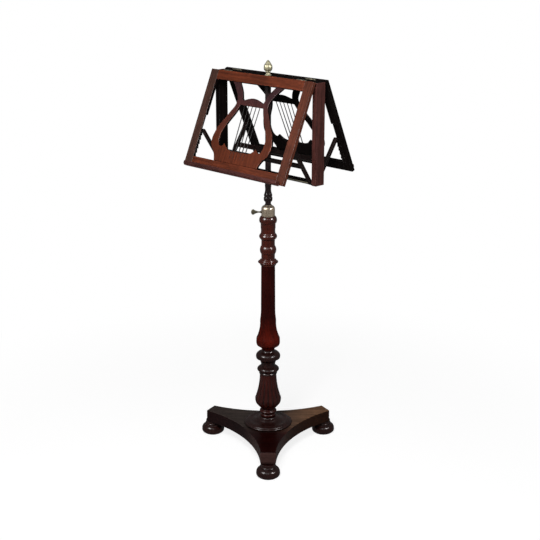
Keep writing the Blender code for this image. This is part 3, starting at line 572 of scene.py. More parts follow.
def old_brass(name, colour, metal):
    """Handled brass: cloudy tone, brown in the hollows, fine scratches."""
    material, tree, shader = new_material(name, metallic=metal, specular_tint=(*shaded(colour, 1.2), 1))
    place = add_node(tree, "TexCoord").outputs["Object"]
    cloud = noise(tree, place, scale=160.0, detail=5.0, roughness=0.6, distortion=0.5)
    brushed = mapped(tree, place, scale=(1, 1, BRUSH_STRETCH))
    scratch = noise(tree, brushed, scale=420.0, detail=2.0, roughness=0.6)
    dull = tuple(channel * left for channel, left in zip(colour, TARNISH))
    tone = ramp(tree, cloud, (0.3, dull), (0.5, tuple(colour)), (0.72, shaded(colour, 1.3)))
    feed(tree, shader.inputs["Base Color"], multiplied(tree, tone, hollows(tree, reach=5 * MM, darkest=0.16)))
    feed(tree, shader.inputs["Roughness"], ramp(tree, cloud, (0.3, 0.42), (0.7, 0.3)))
    feed(tree, shader.inputs["Normal"], bump(tree, scratch, strength=0.12, distance=0.1 * MM))
    return material


def stained(kind, along=UP):
    """One of the stand's wood finishes, with its grain along a direction, made once."""
    along = Vector(along).normalized()
    name = f"{kind}_{along.x:.2f}_{along.y:.2f}_{along.z:.2f}".replace("-", "n")
    if name in bpy.data.materials:
        return bpy.data.materials[name]
    finish = bpy.context.scene.stand_finish
    polish, contrast = WOODS[kind]
    colour = getattr(finish, "mahogany" if kind == "lyre" else kind)
    reed_top = baluster_foot() + REED_TOP
    grades = {
        "vase": (("Z", reed_top, reed_top + GROOVE_FADE, finish.base),),
        # Painted reflection: the top lighter towards the right arm
        "platform": (("X", REFLECTION_START, REFLECTION_END, finish.painted_reflection),
                     ("Y", ARM_DARK_START, ARM_DARK_END, finish.front_arm)),
        "platform_side": (("X", RIGHT_SIDE_START, RIGHT_SIDE_END, finish.right_arm_side),
                          ("Y", SIDE_DARK, SIDE_PALE, finish.front_side)),
        "lyre": (("Z", LYRE_ORANGE, LYRE_BROWN, finish.yoke),),
        # Painted sheen: the shaft redder towards its foot
        "pillar": (("Z", SHAFT_DARK, SHAFT_RED, finish.bulb_sheen),),
    }
    changes = [(*reach, change(colour, other)) for *reach, other in grades.get(kind, ())]
    return wood(name, colour, along, finish.polish * polish, finish.polish_roughness, contrast, changes,
                kind == "vase")


def brass(kind="brass"):
    """One of the stand's brass finishes, made once."""
    name = f"aged_{kind}"
    if name not in bpy.data.materials:
        metal = DULL_METAL if kind == "pale_brass" else TARNISHED_METAL
        old_brass(name, getattr(bpy.context.scene.stand_finish, kind), metal)
    return bpy.data.materials[name]


# Meshes

def face_outwards(bm):
    bmesh.ops.recalc_face_normals(bm, faces=bm.faces)
    if bm.calc_volume(signed=True) < 0:
        bmesh.ops.reverse_faces(bm, faces=bm.faces)


def open_mesh(name, bm):
    mesh = bpy.data.meshes.new(name)
    bm.to_mesh(mesh)
    bm.free()
    return mesh


def closed_mesh(name, bm):
    face_outwards(bm)
    return open_mesh(name, bm)


def add_object(name, data):
    made = bpy.data.objects.new(name, data)
    bpy.context.scene.collection.objects.link(made)
    return made


def add_piece(node, mesh, slot, *materials, extra=""):
    """Puts a mesh in the place of a node, or beside it when it has an extra name."""
    piece = add_object(f"{node}.{extra or 'finished'}", mesh)
    for material in materials:
        piece.data.materials.append(material)
    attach(piece, body_of(frame["nodes"][node])[0])
    if not extra:
        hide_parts(node)
    return piece


def smoothed(piece, crease=38):
    """Smooth shading with crisp edges."""
    piece.data.shade_smooth()
    piece.data.set_sharp_from_angle(angle=math.radians(crease))
    return piece


def polish_flats(piece):
    """Smooth shading that leaves the flats flat."""
    piece.data.shade_smooth()
    piece.modifiers.new("flat faces", "WEIGHTED_NORMAL").weight = 80
    return piece


def profile(marks, arc_steps):
    """Radius and height pairs in metres from turned marks."""
    points = [(marks[0][0] * MM, marks[0][1] * MM)]
    for (r0, z0, _), (r1, z1, bulge) in zip(marks, marks[1:]):
        chord = math.hypot(r1 - r0, z1 - z0)
        steps = arc_steps if bulge else 1
        for step in range(1, steps + 1):
            t = step / steps
            out = 4 * bulge * t * (1 - t)
            points.append(((r0 + (r1 - r0) * t + out * (z1 - z0) / chord) * MM,
                           (z0 + (z1 - z0) * t - out * (r1 - r0) / chord) * MM))
    return points


def refined(points, spacing):
    """The same profile with no step longer than the spacing."""
    fine = [points[0]]
    for (r0, z0), (r1, z1) in zip(points, points[1:]):
        steps = max(1, math.ceil(math.hypot(r1 - r0, z1 - z0) / spacing))
        for step in range(1, steps + 1):
            t = step / steps
            fine.append((r0 + (r1 - r0) * t, z0 + (z1 - z0) * t))
    return fine


def lathe(name, points, steps, shape=None, ring=False):
    """A turning about Z from radius and height pairs; shape bends a radius by angle and height."""
    bm = bmesh.new()
    rows = []
    for radius, height in points:
        if radius < WELD:
            rows.append([bm.verts.new((0, 0, height))])
            continue
        row = []
        for step in range(steps):
            turn = 2 * math.pi * step / steps
            reach = shape(turn, radius, height) if shape else radius
            row.append(bm.verts.new((reach * math.cos(turn), reach * math.sin(turn), height)))
        rows.append(row)
    pairs = list(zip(rows, rows[1:]))
    if ring:
        pairs.append((rows[-1], rows[0]))
    for lower, upper in pairs:
        for step in range(steps):
            corners = (lower[step % len(lower)], lower[(step + 1) % len(lower)],
                       upper[(step + 1) % len(upper)], upper[step % len(upper)])
            bm.faces.new(list(dict.fromkeys(corners)))
    return closed_mesh(name, bm)


def capped(points):
    return [(0, points[0][1])] + points + [(0, points[-1][1])]


def set_down(mesh, place):
    mesh.transform(Matrix.Translation(place))
    return mesh


def middle_of(node):
    low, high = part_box(node)
    return (low + high) / 2


def foot_of(node):
    """Middle of a node's lowest level."""
    low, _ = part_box(node)
    place = middle_of(node)
    return Vector((place.x, place.y, low.z))


def baluster_foot():
    """Height of the baluster's lowest turned mark, above the spigot."""
    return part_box("column_baluster")[1].z - BALUSTER_MARKS[-1][1] * MM


def plain_turning(node, marks, slot, finish):
    """A turning that follows its marks alone."""
    turning = bpy.context.scene.stand_turning
    mesh = lathe(node, capped(profile(marks, turning.arc_steps)), turning.steps)
    smoothed(add_piece(node, set_down(mesh, foot_of(node)), slot, stained(finish)))


def welded(node, axes):
    """A node's shape with its corners joined and its flats whole, in the given axes."""
    source = frame["nodes"][node].data
    bm = bmesh.new()
    bare = bpy.data.meshes.new(node)
    bare.from_pydata([corner.co for corner in source.vertices], [],
                     [face.vertices for face in source.polygons])
    bm.from_mesh(bare)
    bpy.data.meshes.remove(bare)
    bmesh.ops.remove_doubles(bm, verts=bm.verts, dist=WELD)
    bmesh.ops.dissolve_limit(bm, angle_limit=math.radians(1), verts=bm.verts, edges=bm.edges)
    bm.transform(axes.inverted())
    face_outwards(bm)
    return bm


def eased(node, width, axes, sharpness):
    """A node's shape with its edges rounded, in the given axes."""
    bm = welded(node, axes)
    limit = math.radians(sharpness)
    sharp = [edge for edge in bm.edges if edge.is_manifold and edge.calc_face_angle() > limit]
    bmesh.ops.bevel(bm, geom=sharp, offset=width, segments=2, profile=0.6, affect="EDGES", clamp_overlap=True)
    return closed_mesh(node, bm)


def face_finish(mesh, test):
    """Gives the second material to the faces whose normal passes the test."""
    for face in mesh.polygons:
        if test(face.normal):
            face.material_index = 1


def sawn(node, axes, slot, *materials, ease=PLAIN_EASE, inside=None):
    """A flat piece with rounded edges; faces whose normal passes the test get the second material, a painted
    shade.
    """
    rounding, sharpness = ease
    mesh = eased(node, bpy.context.scene.stand_joinery.edge * rounding, axes, sharpness)
    if inside:
        face_finish(mesh, inside)
    mesh.transform(axes)
    polish_flats(add_piece(node, mesh, slot, *materials))


def prism(bm, outline, lift):
    """A solid between a flat outline and the same outline lifted, with its faces in a fixed order."""
    lower = [bm.verts.new(place) for place in outline]
    upper = [bm.verts.new(corner.co + Vector(lift)) for corner in lower]
    bm.faces.new(lower)
    bm.faces.new(upper)
    for i, corner in enumerate(lower):
        bm.faces.new((lower[i - 1], corner, upper[i], upper[i - 1]))


def local_corners(node, axes):
    inverse = axes.inverted()
    return [inverse @ corner.co for corner in frame["nodes"][node].data.vertices]


def local_box(node, axes):
    """Lowest and highest corner of a node in the given axes."""
    corners = local_corners(node, axes)
    return [Vector(pick(corner[i] for corner in corners) for i in range(3)) for pick in (min, max)]


def axes_of(joint, turn=0.0):
    """A joint's axes: X along its line, Z up, turned about X."""
    along = Vector(joint["axis"])
    across = UP.cross(along)
    square = Matrix((along, across, UP)).transposed().to_4x4()
    return Matrix.Translation(joint["pos_m"]) @ square @ Matrix.Rotation(turn, 4, "X")


def rest_axes(side):
    """A rest's own axes at rest: X along the hinge, -Y out of its face, Z up its slope."""
    joint = JOINTS[f"{side}_fold"]
    return axes_of(joint, -math.radians(joint["range_deg"][1]))


def strut_axes(side):
    joint = JOINTS[f"{side}_strut_fold"]
    ratio = frame["record"]["behaviour"]["couplings"][SIDES.index(side)]["ratio"]
    return axes_of(joint, -ratio * math.radians(JOINTS[f"{side}_fold"]["range_deg"][1]))


def desk_axes():
    joint = dict(JOINTS["front_fold"])
    joint["pos_m"] = (0, 0, 0)
    return axes_of(joint)


def outline_mesh(name, loops, thickness, edge, steps=10):
    """A flat outline with rounded edges. Each loop is a list of x, y and a corner flag."""
    curve = bpy.data.curves.new(name, "CURVE")
    curve.dimensions = "2D"
    curve.fill_mode = "BOTH"
    curve.extrude = thickness / 2 - edge
    curve.bevel_depth = edge
    curve.bevel_resolution = 2
    curve.offset = -edge
    curve.resolution_u = steps
    for loop in loops:
        spline = curve.splines.new("BEZIER")
        spline.bezier_points.add(len(loop) - 1)
        spline.use_cyclic_u = True
        for point, (x, y, corner) in zip(spline.bezier_points, loop):
            point.co = (x, y, 0)
            point.handle_left_type = "VECTOR" if corner else "AUTO"
            point.handle_right_type = "VECTOR" if corner else "AUTO"
    drawn = add_object(name, curve)
    bpy.context.view_layer.update()
    graph = bpy.context.evaluated_depsgraph_get()
    mesh = bpy.data.meshes.new_from_object(drawn.evaluated_get(graph))
    bpy.data.objects.remove(drawn, do_unlink=True)
    bpy.data.curves.remove(curve)
    bm = bmesh.new()
    bm.from_mesh(mesh)
    bpy.data.meshes.remove(mesh)
    bmesh.ops.remove_doubles(bm, verts=bm.verts, dist=WELD)
    return closed_mesh(name, bm)


def round_bar(name, start, end, radius, end_radius=None, steps=20):
    """A bar between two points with eased ends."""
    start = Vector(start)
    along = Vector(end) - start
    ease = radius * BAR_EASE
    last = end_radius or radius
    points = capped([(radius - ease, 0), (radius, ease), (last, along.length - ease),
                     (last - ease, along.length)])
    mesh = lathe(name, points, steps)
    turn = along.to_track_quat("Z", "Y").to_matrix().to_4x4()
    mesh.transform(Matrix.Translation(start) @ turn)
    return mesh


# Pieces

class STAND_OT_platform(bpy.types.Operator):
    """Shape the three-armed platform with rounded edges."""
    bl_idname = "stand.platform"
    bl_label = "Platform"

    def execute(self, context):
        low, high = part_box("base_platform")
        reach = -low.y
        half = ARM_WIDTH / 2
        middle = math.pi / ARMS
        inward = reach * math.cos(middle) + half * math.sin(middle)
        across = reach * math.sin(middle) - half * math.cos(middle)
        sagitta = inward - WAIST_RADIUS
        radius = (across ** 2 + sagitta ** 2) / (2 * sagitta)
        sweep = math.asin(across / radius)
        corners = []
        for arm in range(ARMS):
            side = middle * (2 * arm + 1) - RIGHT_ANGLE
            for step in range(ARM_ARC_STEPS + 1):
                swing = -sweep + 2 * sweep * step / ARM_ARC_STEPS
                along = WAIST_RADIUS + radius * (1 - math.cos(swing))
                aside = radius * math.sin(swing)
                corners.append((along * math.cos(side) - aside * math.sin(side),
                                along * math.sin(side) + aside * math.cos(side)))
        bm = bmesh.new()
        prism(bm, [(x, y, low.z) for x, y in corners], (0, 0, high.z - low.z))
        bmesh.ops.recalc_face_normals(bm, faces=bm.faces)
        edge = context.scene.stand_joinery.platform_edge
        sharp = [item for item in bm.edges if item.calc_face_angle() > math.radians(PLATFORM_SHARPNESS)]
        bmesh.ops.bevel(bm, geom=sharp, offset=edge, segments=3, profile=0.5, affect="EDGES")
        mesh = closed_mesh("platform", bm)
        face_finish(mesh, lambda normal: normal.z < FACING)
        polish_flats(add_piece("base_platform", mesh, "dark_mahogany", stained("platform", (1, 0, 0)),
                               stained("platform_side", (1, 0, 0))))
        return {"FINISHED"}


class STAND_OT_feet(bpy.types.Operator):
    """Turn the three bun feet."""
    bl_idname = "stand.feet"
    bl_label = "Bun feet"

    def execute(self, context):
        for place in ("front", "right", "left"):
            plain_turning(f"foot_{place}", FOOT_MARKS, "dark_mahogany", "base")
        return {"FINISHED"}


class STAND_OT_flange(bpy.types.Operator):
    """Turn the moulded flange under the pillar."""
    bl_idname = "stand.flange"
    bl_label = "Flange"

    def execute(self, context):
        plain_turning("base_flange", FLANGE_MARKS, "dark_mahogany", "base")
        return {"FINISHED"}


class STAND_OT_baluster(bpy.types.Operator):
    """Turn the baluster and carve the reeds of its vase."""
    bl_idname = "stand.baluster"
    bl_label = "Reeded baluster"

    def execute(self, context):
        turning = context.scene.stand_turning
        depth = turning.reed_depth
        pitch = 2 * math.pi / turning.reeds
        ground = REED_TIP * REED_GROUND

        def reeded(turn, radius, height):
            if height >= REED_TOP:
                return radius
            if height <= REED_TIP:
                return radius - depth * max(0.0, min(1.0, (height - ground) / (REED_TIP - ground)))
            across = 2 * ((turn / pitch) % 1) - 1
            half_width = radius * pitch / 2
            tip = max(0.0, 1 - (height - REED_TIP) / half_width)
            crest = math.sqrt(max(0.0, 1 - across ** 2 - tip ** 2))
            top = min(1.0, (REED_TOP - height) / REED_FADE)
            return radius - depth * (1 - crest) * top

        points = refined(profile(BALUSTER_MARKS, turning.arc_steps), REED_SPACING)
        mesh = lathe("baluster", capped(points), turning.reeds * STEPS_PER_REED, reeded)
        foot = Vector((0, 0, baluster_foot()))
        smoothed(add_piece("column_baluster", set_down(mesh, foot), "mahogany", stained("vase")))
        return {"FINISHED"}


class STAND_OT_shaft(bpy.types.Operator):
    """Cut the eight flats of the shaft."""
    bl_idname = "stand.shaft"
    bl_label = "Eight-sided shaft"

    def execute(self, context):
        turning = context.scene.stand_turning
        pitch = 2 * math.pi / FLATS

        def flat(turn, radius, height):
            off = (turn + pitch / 2) % pitch - pitch / 2
            corner = min(radius / math.cos(off), radius / math.cos(pitch / 2) - turning.corner_cut)
            start = (height - FLATS_START) / FLATS_FADE + 1
            end = (FLATS_END - height) / FLATS_FADE + 1
            return radius + (corner - radius) * max(0.0, min(1.0, start, end))

        points = refined(profile(SHAFT_MARKS, turning.arc_steps), FLATS_SPACING)
        mesh = set_down(lathe("shaft", capped(points), FLATS * STEPS_PER_FLAT, flat), foot_of("column_shaft"))
        smoothed(add_piece("column_shaft", mesh, "mahogany", stained("pillar")), FLATS_CREASE)
        return {"FINISHED"}


class STAND_OT_head(bpy.types.Operator):
    """Turn the ringed head of the pillar."""
    bl_idname = "stand.head"
    bl_label = "Pillar head"

    def execute(self, context):
        plain_turning("column_head", HEAD_MARKS, "mahogany", "head")
        return {"FINISHED"}


class STAND_OT_collar(bpy.types.Operator):
    """Turn the domed brass collar and the desk's washer."""
    bl_idname = "stand.collar"
    bl_label = "Collar and washer"

    def execute(self, context):
        low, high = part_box("brass_collar")
        radius = high.x
        height = high.z - low.z
        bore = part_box("post")[1].x * BORE_SHARE
        lip = bore + COLLAR_LIP
        points = [(bore, 0)] + [(radius - inwards * MM, up * MM) for inwards, up in COLLAR_SIDE]
        points.append((radius, COLLAR_STRAIGHT))
        for step in range(1, DOME_STEPS + 1):
            swing = math.pi / 2 * step / DOME_STEPS
            points.append((lip + (radius - lip) * math.cos(swing),
                           COLLAR_STRAIGHT + COLLAR_DOME * math.sin(swing)))
        points += [(lip, height - ROUND_OVER), (lip - ROUND_OVER, height), (bore, height)]
        self.ring("brass_collar", points, low.z)

        low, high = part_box("desk_washer")
        thick = high.z - low.z
        points = [(bore, 0), (high.x - ROUND_OVER, 0), (high.x, ROUND_OVER), (high.x, thick - ROUND_OVER),
                  (high.x - ROUND_OVER, thick), (bore, thick)]
        self.ring("desk_washer", points, low.z)
        return {"FINISHED"}

    def ring(self, node, points, level):
        mesh = lathe(node, points, bpy.context.scene.stand_turning.steps, ring=True)
        smoothed(add_piece(node, set_down(mesh, Vector((0, 0, level))), "brass", brass()))


class STAND_OT_thumbscrew(bpy.types.Operator):
    """Shape the thumbscrew: a ringed shank and a flat spade tab."""
    bl_idname = "stand.thumbscrew"
    bl_label = "Thumbscrew"

    def execute(self, context):
        low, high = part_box("thumbscrew")
        level = middle_of("thumbscrew").z
        collar = -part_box("brass_collar")[1].x
        length = high.x - collar
        points = [(SHANK_RADIUS, 0)] + [(r * MM, length + beyond * MM) for r, beyond in SHANK_MARKS]
        mesh = lathe("shank", capped(points), SHANK_STEPS)
        outwards = Vector((-1, 0, 0)).to_track_quat("Z", "Y").to_matrix().to_4x4()
        mesh.transform(Matrix.Translation((high.x, 0, level)) @ outwards)
        smoothed(add_piece("thumbscrew", mesh, "brass", brass("dark_brass")))

        root = collar - TAB_ROOT
        halfway = root - TAB_LENGTH / 2
        upper = [(root, TAB_NECK / 2, True), (halfway, TAB_WAIST / 2, False), (low.x, TAB_HEIGHT / 2, False)]
        shape = upper + [(x, -y, corner) for x, y, corner in upper[::-1]]
        mesh = outline_mesh("tab", [shape], TAB_THICKNESS, TAB_EDGE)
        mesh.transform(Matrix.Translation((0, 0, level)) @ Matrix.Rotation(RIGHT_ANGLE, 4, "X"))
        smoothed(add_piece("thumbscrew", mesh, "brass", brass("dark_brass"), extra="tab"))
        return {"FINISHED"}


class STAND_OT_post(bpy.types.Operator):
    """Turn the sliding post and its knop."""
    bl_idname = "stand.post"
    bl_label = "Sliding post"

    def execute(self, context):
        low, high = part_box("post")
        frame_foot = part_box("frame_bottom_rail")[0].z
        frame_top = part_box("frame_top_rail")
        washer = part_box("desk_washer")
        knop_top = washer[0].z - CLEARANCE
        knop_foot = knop_top - KNOP_MARKS[-1][1] * MM
        shoulder = frame_top[0].z - CLEARANCE
        marks = profile(KNOP_MARKS, context.scene.stand_turning.arc_steps)
        points = [(POST_RADIUS - POST_TAPER, low.z), (POST_RADIUS, frame_foot * POST_FULL)]
        points += [(POST_RADIUS, knop_foot)] + [(r, z + knop_foot) for r, z in marks]
        points += [(POST_RADIUS, knop_top), (POST_RADIUS, shoulder), (STUB_RADIUS, shoulder),
                   (STUB_RADIUS, high.z)]
        mesh = lathe("post", capped(points), POST_STEPS)
        smoothed(add_piece("post", mesh, "dark_mahogany", stained("post")))
        return {"FINISHED"}


class STAND_OT_finial(bpy.types.Operator):
    """Shape the brass bud on the desk."""
    bl_idname = "stand.finial"
    bl_label = "Bud finial"

    def execute(self, context):
        turning = context.scene.stand_turning
        points = refined(profile(FINIAL_MARKS, turning.arc_steps), BUD_SPACING)
        top = FINIAL_MARKS[-1][1] * MM
        bud = FINIAL_MARKS[BUD_MARK][1] * MM

        def lobed(turn, radius, height):
            line = 1 - abs(math.cos(turning.bud_lobes / 2 * turn))
            fade = min(1.0, max(0.0, (height - bud) / LOBE_START), (top - height) / LOBE_END)
            return max(LEAST_RADIUS, radius - turning.bud_depth * line * fade)

        mesh = lathe("finial", [(0, 0)] + points, turning.bud_lobes * STEPS_PER_LOBE, lobed)
        smoothed(add_piece("finial", set_down(mesh, foot_of("finial")), "brass", brass("pale_brass")))
        return {"FINISHED"}


class STAND_OT_frame(bpy.types.Operator):
    """Ease and finish the desk's central frame."""
    bl_idname = "stand.frame"
    bl_label = "Desk frame"

    def execute(self, context):
        axes = desk_axes()
        along = axes.col[0].to_3d()
        # Painted shade: the rails, the left stile's front and the right stile's back take the near-black
        # second finish
        for name, end in (("left_stile", -1), ("right_stile", 1), ("top_rail", 0), ("bottom_rail", 0)):
            grain = UP if end else along
            sawn(f"frame_{name}", axes, "dark_mahogany", stained("dark", grain), stained("inside", grain),
                 inside=lambda normal: normal.x * end < FACING and normal.y * end > -FACING)
        return {"FINISHED"}


class STAND_OT_rests(bpy.types.Operator):
    """Ease and polish the rails, stiles and ledges of the two rests."""
    bl_idname = "stand.rests"
    bl_label = "Rests and ledges"

    def execute(self, context):
        for side in SIDES:
            axes = rest_axes(side)
            along, slope = axes.col[0].to_3d(), axes.col[2].to_3d()
            # Painted shade: every face but the outer one, and the right stile's outer side, takes the
            # near-black second finish
            for name, grain, end, finish in (
                    ("top_rail", along, 0, "mahogany"), ("bottom_rail", along, 0, "mahogany"),
                    # Painted shade: the left stiles take a darker, more purple tone
                    ("left_stile", slope, 0, "left_stile"), ("right_stile", slope, 1, "right_stile")):
                sawn(f"{side}_{name}", axes, "mahogany", stained(finish, grain), stained("inside", grain),
                     inside=lambda normal: normal.y > -FACING and normal.x * end < FACING)
            sawn(f"{side}_ledge", axes, "dark_mahogany", stained("dark", along), ease=LEDGE_EASE)
        return {"FINISHED"}


class STAND_OT_lyres(bpy.types.Operator):
    """Saw out the lyres, with rounded edges and dark lines below the strings."""
    bl_idname = "stand.lyres"
    bl_label = "Lyres"

    def execute(self, context):
        joinery = context.scene.stand_joinery
        for side in SIDES:
            axes = rest_axes(side)
            low, high = local_box(f"{side}_lyre", axes)
            top = local_box(f"{side}_top_rail", axes)[1].z
            ends = {0: top - high.z, len(LYRE_OUTER) - 1: top - low.z}

            def half(points, hand):
                return [(hand * x * MM, -(ends[i] if down is None else down * MM), corner)
                        for i, (x, down, corner) in enumerate(points)]

            edge = (half(LYRE_OUTER, 1) + half(LYRE_OUTER, -1)[::-1] + half(LYRE_ARM_INNER, -1)
                    + [(0, -YOKE_CREST * MM, False)] + half(LYRE_ARM_INNER, 1)[::-1])
            window = half(LYRE_WINDOW, 1) + half(LYRE_WINDOW, -1)[::-1]
            mesh = outline_mesh(f"{side}_lyre", [edge, window], high.y - low.y, joinery.lyre_edge)
            place = Matrix.Translation((0, (low.y + high.y) / 2, top))
            mesh.transform(place @ Matrix.Rotation(RIGHT_ANGLE, 4, "X"))
            # Painted shade: the back and the sawn edges take the near-black second finish
            face_finish(mesh, lambda normal: normal.y > -LYRE_FACING)
            mesh.transform(axes)
            slope = axes.col[2].to_3d()
            polish_flats(add_piece(f"{side}_lyre", mesh, "mahogany", stained("lyre", slope),
                                   stained("inside", slope)))
            self.inlay(side, axes, low.y, top, joinery.inlay_width)
        return {"FINISHED"}

    def inlay(self, side, axes, face, top, width):
        """Dark lines that carry the strings on down the lyre's base."""
        bm = bmesh.new()
        start = top - LYRE_WINDOW[-1][1] * MM - INLAY_GAP
        end = top - INLAY_END * MM
        for number in range(1, STRINGS + 1):
            low, high = local_box(f"{side}_string_{number}", axes)
            across = (low.x if low.x + high.x < 0 else high.x) * INLAY_SPREAD
            corners = ((across - width / 2, start), (across + width / 2, start), (across + width / 3, end),
                       (across, end - width), (across - width / 3, end))
            prism(bm, [(x, face + INLAY_PROUD, z) for x, z in corners], (0, -2 * INLAY_PROUD, 0))
        mesh = closed_mesh(f"{side}_inlay", bm)
        mesh.transform(axes)
        add_piece(f"{side}_lyre", mesh, "ebony", stained("ebony"), extra="inlay")


class STAND_OT_strings(bpy.types.Operator):
    """Draw the strings of the lyres."""
    bl_idname = "stand.strings"
    bl_label = "Strings"

    def execute(self, context):
        for side in SIDES:
            axes = rest_axes(side)
            for number in range(1, STRINGS + 1):
                node = f"{side}_string_{number}"
                corners = local_corners(node, axes)
                middle = sum(corner.z for corner in corners) / len(corners)
                ends = []
                for above in (False, True):
                    group = [corner for corner in corners if (corner.z > middle) == above]
                    ends.append(axes @ (sum(group, Vector()) / len(group)))
                depths = [corner.y for corner in corners]
                radius = (max(depths) - min(depths)) / 2
                mesh = round_bar(node, *ends, radius, radius * STRING_TAPER, STRING_STEPS)
                smoothed(add_piece(node, mesh, "ebony", stained("ebony", ends[1] - ends[0])))
        return {"FINISHED"}


class STAND_OT_hinges(bpy.types.Operator):
    """Finish the hinge leaves and drive their screws."""
    bl_idname = "stand.hinges"
    bl_label = "Hinges"

    def execute(self, context):
        edge = context.scene.stand_joinery.brass_edge
        for side in SIDES:
            fixed = axes_of(JOINTS[f"{side}_fold"])
            moving = rest_axes(side)
            for hand in HANDS:
                for leaf, axes, facing in (("fixed", fixed, -1), ("moving", moving, 1)):
                    node = f"{side}_{hand}_hinge_{leaf}_leaf"
                    mesh = eased(node, edge, axes, LEAF_SHARPNESS)
                    mesh.transform(axes)
                    smoothed(add_piece(node, mesh, "brass", brass("dark_brass")), LEAF_CREASE)
                    self.screws(node, axes, facing)
        return {"FINISHED"}

    def screws(self, node, axes, facing):
        """Two low heads with a sloping rim, on the face of the leaf that shows."""
        low, high = local_box(node, axes)
        across = (low.x + high.x) / 2
        turn = Matrix.Rotation(-RIGHT_ANGLE * facing, 4, "X")
        bm = bmesh.new()
        for place in (across - SCREW_SPREAD, across + SCREW_SPREAD):
            head = bmesh.ops.create_circle(bm, cap_ends=True, segments=SCREW_HEAD_STEPS,
                                           radius=SCREW_HEAD_RADIUS)["verts"]
            disc = next(iter(head[0].link_faces))
            inner = bmesh.ops.inset_individual(bm, faces=[disc], thickness=SCREW_RIM)["faces"]
            bmesh.ops.translate(bm, verts=disc.verts, vec=(0, 0, SCREW_HEAD_PROUD))
            stand = Matrix.Translation((place, -facing * SCREW_FACE, -SCREW_DROP)) @ turn
            around = {corner for ring in inner for corner in ring.verts} | set(head)
            bmesh.ops.transform(bm, matrix=stand, verts=list(around))
        mesh = open_mesh("screws", bm)
        mesh.transform(axes)
        smoothed(add_piece(node, mesh, "brass", brass("dark_brass"), extra="screws"), LEAF_CREASE)


class STAND_OT_struts(bpy.types.Operator):
    """Finish the struts, their rods and the notched racks."""
    bl_idname = "stand.struts"
    bl_label = "Struts and racks"

    def execute(self, context):
        for side in SIDES:
            axes = strut_axes(side)
            along, slope = axes.col[0].to_3d(), axes.col[2].to_3d()
            # Painted shade: the struts take a near-black tone
            for name, grain in (("left_leg", slope), ("right_leg", slope), ("crossbar", along)):
                sawn(f"{side}_strut_{name}", axes, "dark_mahogany", stained("strut", grain), ease=STRUT_EASE)
            axes = rest_axes(side)
            slope = axes.col[2].to_3d()
            # Painted shade: the racks are drawn wholly near black
            for hand in HANDS:
                sawn(f"{side}_{hand}_rack", axes, "dark_mahogany", stained("inside", slope), ease=RACK_EASE)
            self.rod(f"{side}_strut_rod")
        return {"FINISHED"}

    def rod(self, node):
        axes = desk_axes()
        low, high = local_box(node, axes)
        level = (low.z + high.z) / 2
        across = (low.y + high.y) / 2
        ends = [axes @ Vector((x, across, level)) for x in (low.x, high.x)]
        mesh = round_bar(node, *ends, (high.z - low.z) / 2)
        smoothed(add_piece(node, mesh, "brass", brass("dark_brass")))


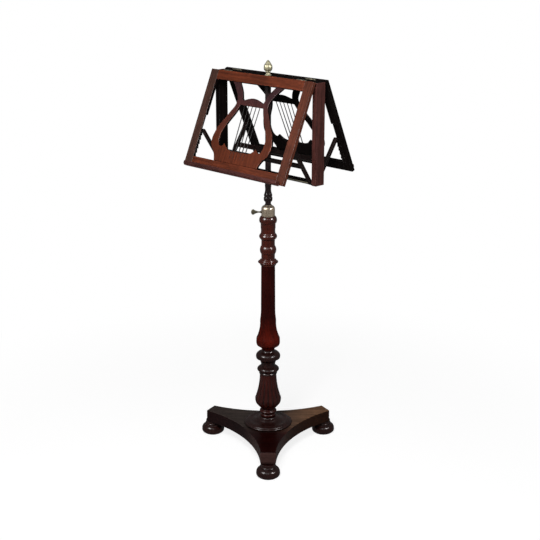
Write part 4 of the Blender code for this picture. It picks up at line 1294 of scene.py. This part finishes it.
class STAND_OT_stage(bpy.types.Operator):
    """Lay the floor, hang the lamps and set up the camera."""
    bl_idname = "stand.stage"
    bl_label = "Stage"

    def execute(self, context):
        stage = context.scene.stand_stage
        self.floor(stage)
        self.sky(context.scene, stage)
        self.lamp("lamp_front", stage, "key", 1)
        for name, side in zip(HANDS, (-1, 1)):
            self.lamp(f"lamp_{name}", stage, "side", side).visible_diffuse = False
        self.camera(context.scene, stage)
        context.scene.view_settings.view_transform = "Standard"
        return {"FINISHED"}

    def seen(self, tree):
        """1 for what the camera, a mirror or a glass shows."""
        light = add_node(tree, "LightPath").outputs
        either = calculated(tree, "MAXIMUM", light["Is Camera Ray"], light["Is Glossy Ray"])
        return calculated(tree, "MAXIMUM", either, light["Is Transmission Ray"])

    def floor(self, stage):
        bm = bmesh.new()
        bmesh.ops.create_circle(bm, cap_ends=True, segments=FLOOR_STEPS, radius=stage.floor_radius)
        floor = add_object("floor", open_mesh("floor", bm))
        material = bpy.data.materials.new("floor")
        material.use_nodes = True
        tree = material.node_tree
        tree.nodes.clear()
        place = add_node(tree, "TexCoord").outputs["Object"]
        away = add_node(tree, "VectorMath", {0: place}, operation="LENGTH").outputs["Value"]
        seen = self.seen(tree)
        lamplit = ranged(tree, away, SHADOW_NEAR, SHADOW_FAR, SHADOW_SHARE, 0.0, "SMOOTHSTEP")
        glow = calculated(tree, "MULTIPLY", calculated(tree, "SUBTRACT", 1.0, lamplit), seen)
        white = add_node(tree, "Emission", {"Color": (1, 1, 1, 1), "Strength": glow})
        tone = calculated(tree, "DIVIDE", lamplit, LAMPLIGHT_ON_FLOOR)
        pale = add_node(tree, "BsdfDiffuse", {"Color": mixed(tree, seen, (*stage.floor_colour, 1), tone)})
        both = add_node(tree, "AddShader", {0: white.outputs[0], 1: pale.outputs[0]})
        add_node(tree, "OutputMaterial", {"Surface": both.outputs[0]})
        floor.data.materials.append(material)

    def sky(self, scene, stage):
        world = bpy.data.worlds.new("studio")
        world.use_nodes = True
        tree = world.node_tree
        light = tree.nodes["Background"]
        light.inputs["Color"].default_value = (1, 1, 1, 1)
        feed(tree, light.inputs["Strength"], ranged(tree, self.seen(tree), 0.0, 1.0, stage.fill, 1.0))
        scene.world = world

    def lamp(self, name, stage, kind, side):
        size, watts, distance, turn, rise = (getattr(stage, f"{kind}_{field}") for field in
                                             ("size", "power", "distance", "turn", "rise"))
        data = bpy.data.lights.new(name, "AREA")
        data.shape = "SQUARE"
        data.size = size
        data.energy = watts
        lamp = add_object(name, data)
        flat = distance * math.cos(rise)
        away = Vector((side * flat * math.sin(turn), -flat * math.cos(turn), distance * math.sin(rise)))
        lamp.location = away + stage.target * UP
        lamp.rotation_euler = away.to_track_quat("Z", "Y").to_euler()
        return lamp

    def camera(self, scene, stage):
        data = bpy.data.cameras.new("camera")
        data.lens = stage.camera_lens
        data.shift_x = stage.camera_shift
        camera = add_object("camera", data)
        camera.location = stage.camera_place
        camera.rotation_euler = (RIGHT_ANGLE - stage.camera_tilt, 0, 0)
        scene.camera = camera


PIECES = (
    STAND_OT_platform, STAND_OT_feet, STAND_OT_flange, STAND_OT_baluster, STAND_OT_shaft, STAND_OT_head,
    STAND_OT_collar, STAND_OT_thumbscrew, STAND_OT_post, STAND_OT_finial, STAND_OT_frame, STAND_OT_rests,
    STAND_OT_lyres, STAND_OT_strings, STAND_OT_hinges, STAND_OT_struts, STAND_OT_stage,
)
SETTINGS = {
    "stand_turning": TurningSettings, "stand_joinery": JoinerySettings, "stand_finish": FinishSettings,
    "stand_stage": StageSettings,
}


class STAND_PT_panel(bpy.types.Panel):
    """Lists the pieces of the stand and their settings."""
    bl_idname = "STAND_PT_panel"
    bl_label = "Duet Music Stand"
    bl_space_type = "VIEW_3D"
    bl_region_type = "UI"
    bl_category = "Music Stand"

    def draw(self, context):
        for name, group in SETTINGS.items():
            box = self.layout.box()
            settings = getattr(context.scene, name)
            for field in group.__annotations__:
                box.prop(settings, field)
        for piece in PIECES:
            self.layout.operator(piece.bl_idname)


def register():
    for group in SETTINGS.values():
        bpy.utils.register_class(group)
    for name, group in SETTINGS.items():
        setattr(bpy.types.Scene, name, PointerProperty(type=group))
    for item in (*PIECES, STAND_PT_panel):
        bpy.utils.register_class(item)


def unregister():
    for item in (STAND_PT_panel, *reversed(PIECES)):
        bpy.utils.unregister_class(item)
    for name in SETTINGS:
        delattr(bpy.types.Scene, name)
    for group in SETTINGS.values():
        bpy.utils.unregister_class(group)


def main():
    register()
    for piece in PIECES:
        family, action = piece.bl_idname.split(".")
        getattr(getattr(bpy.ops, family), action)()


if __name__ == "__main__":
    main()
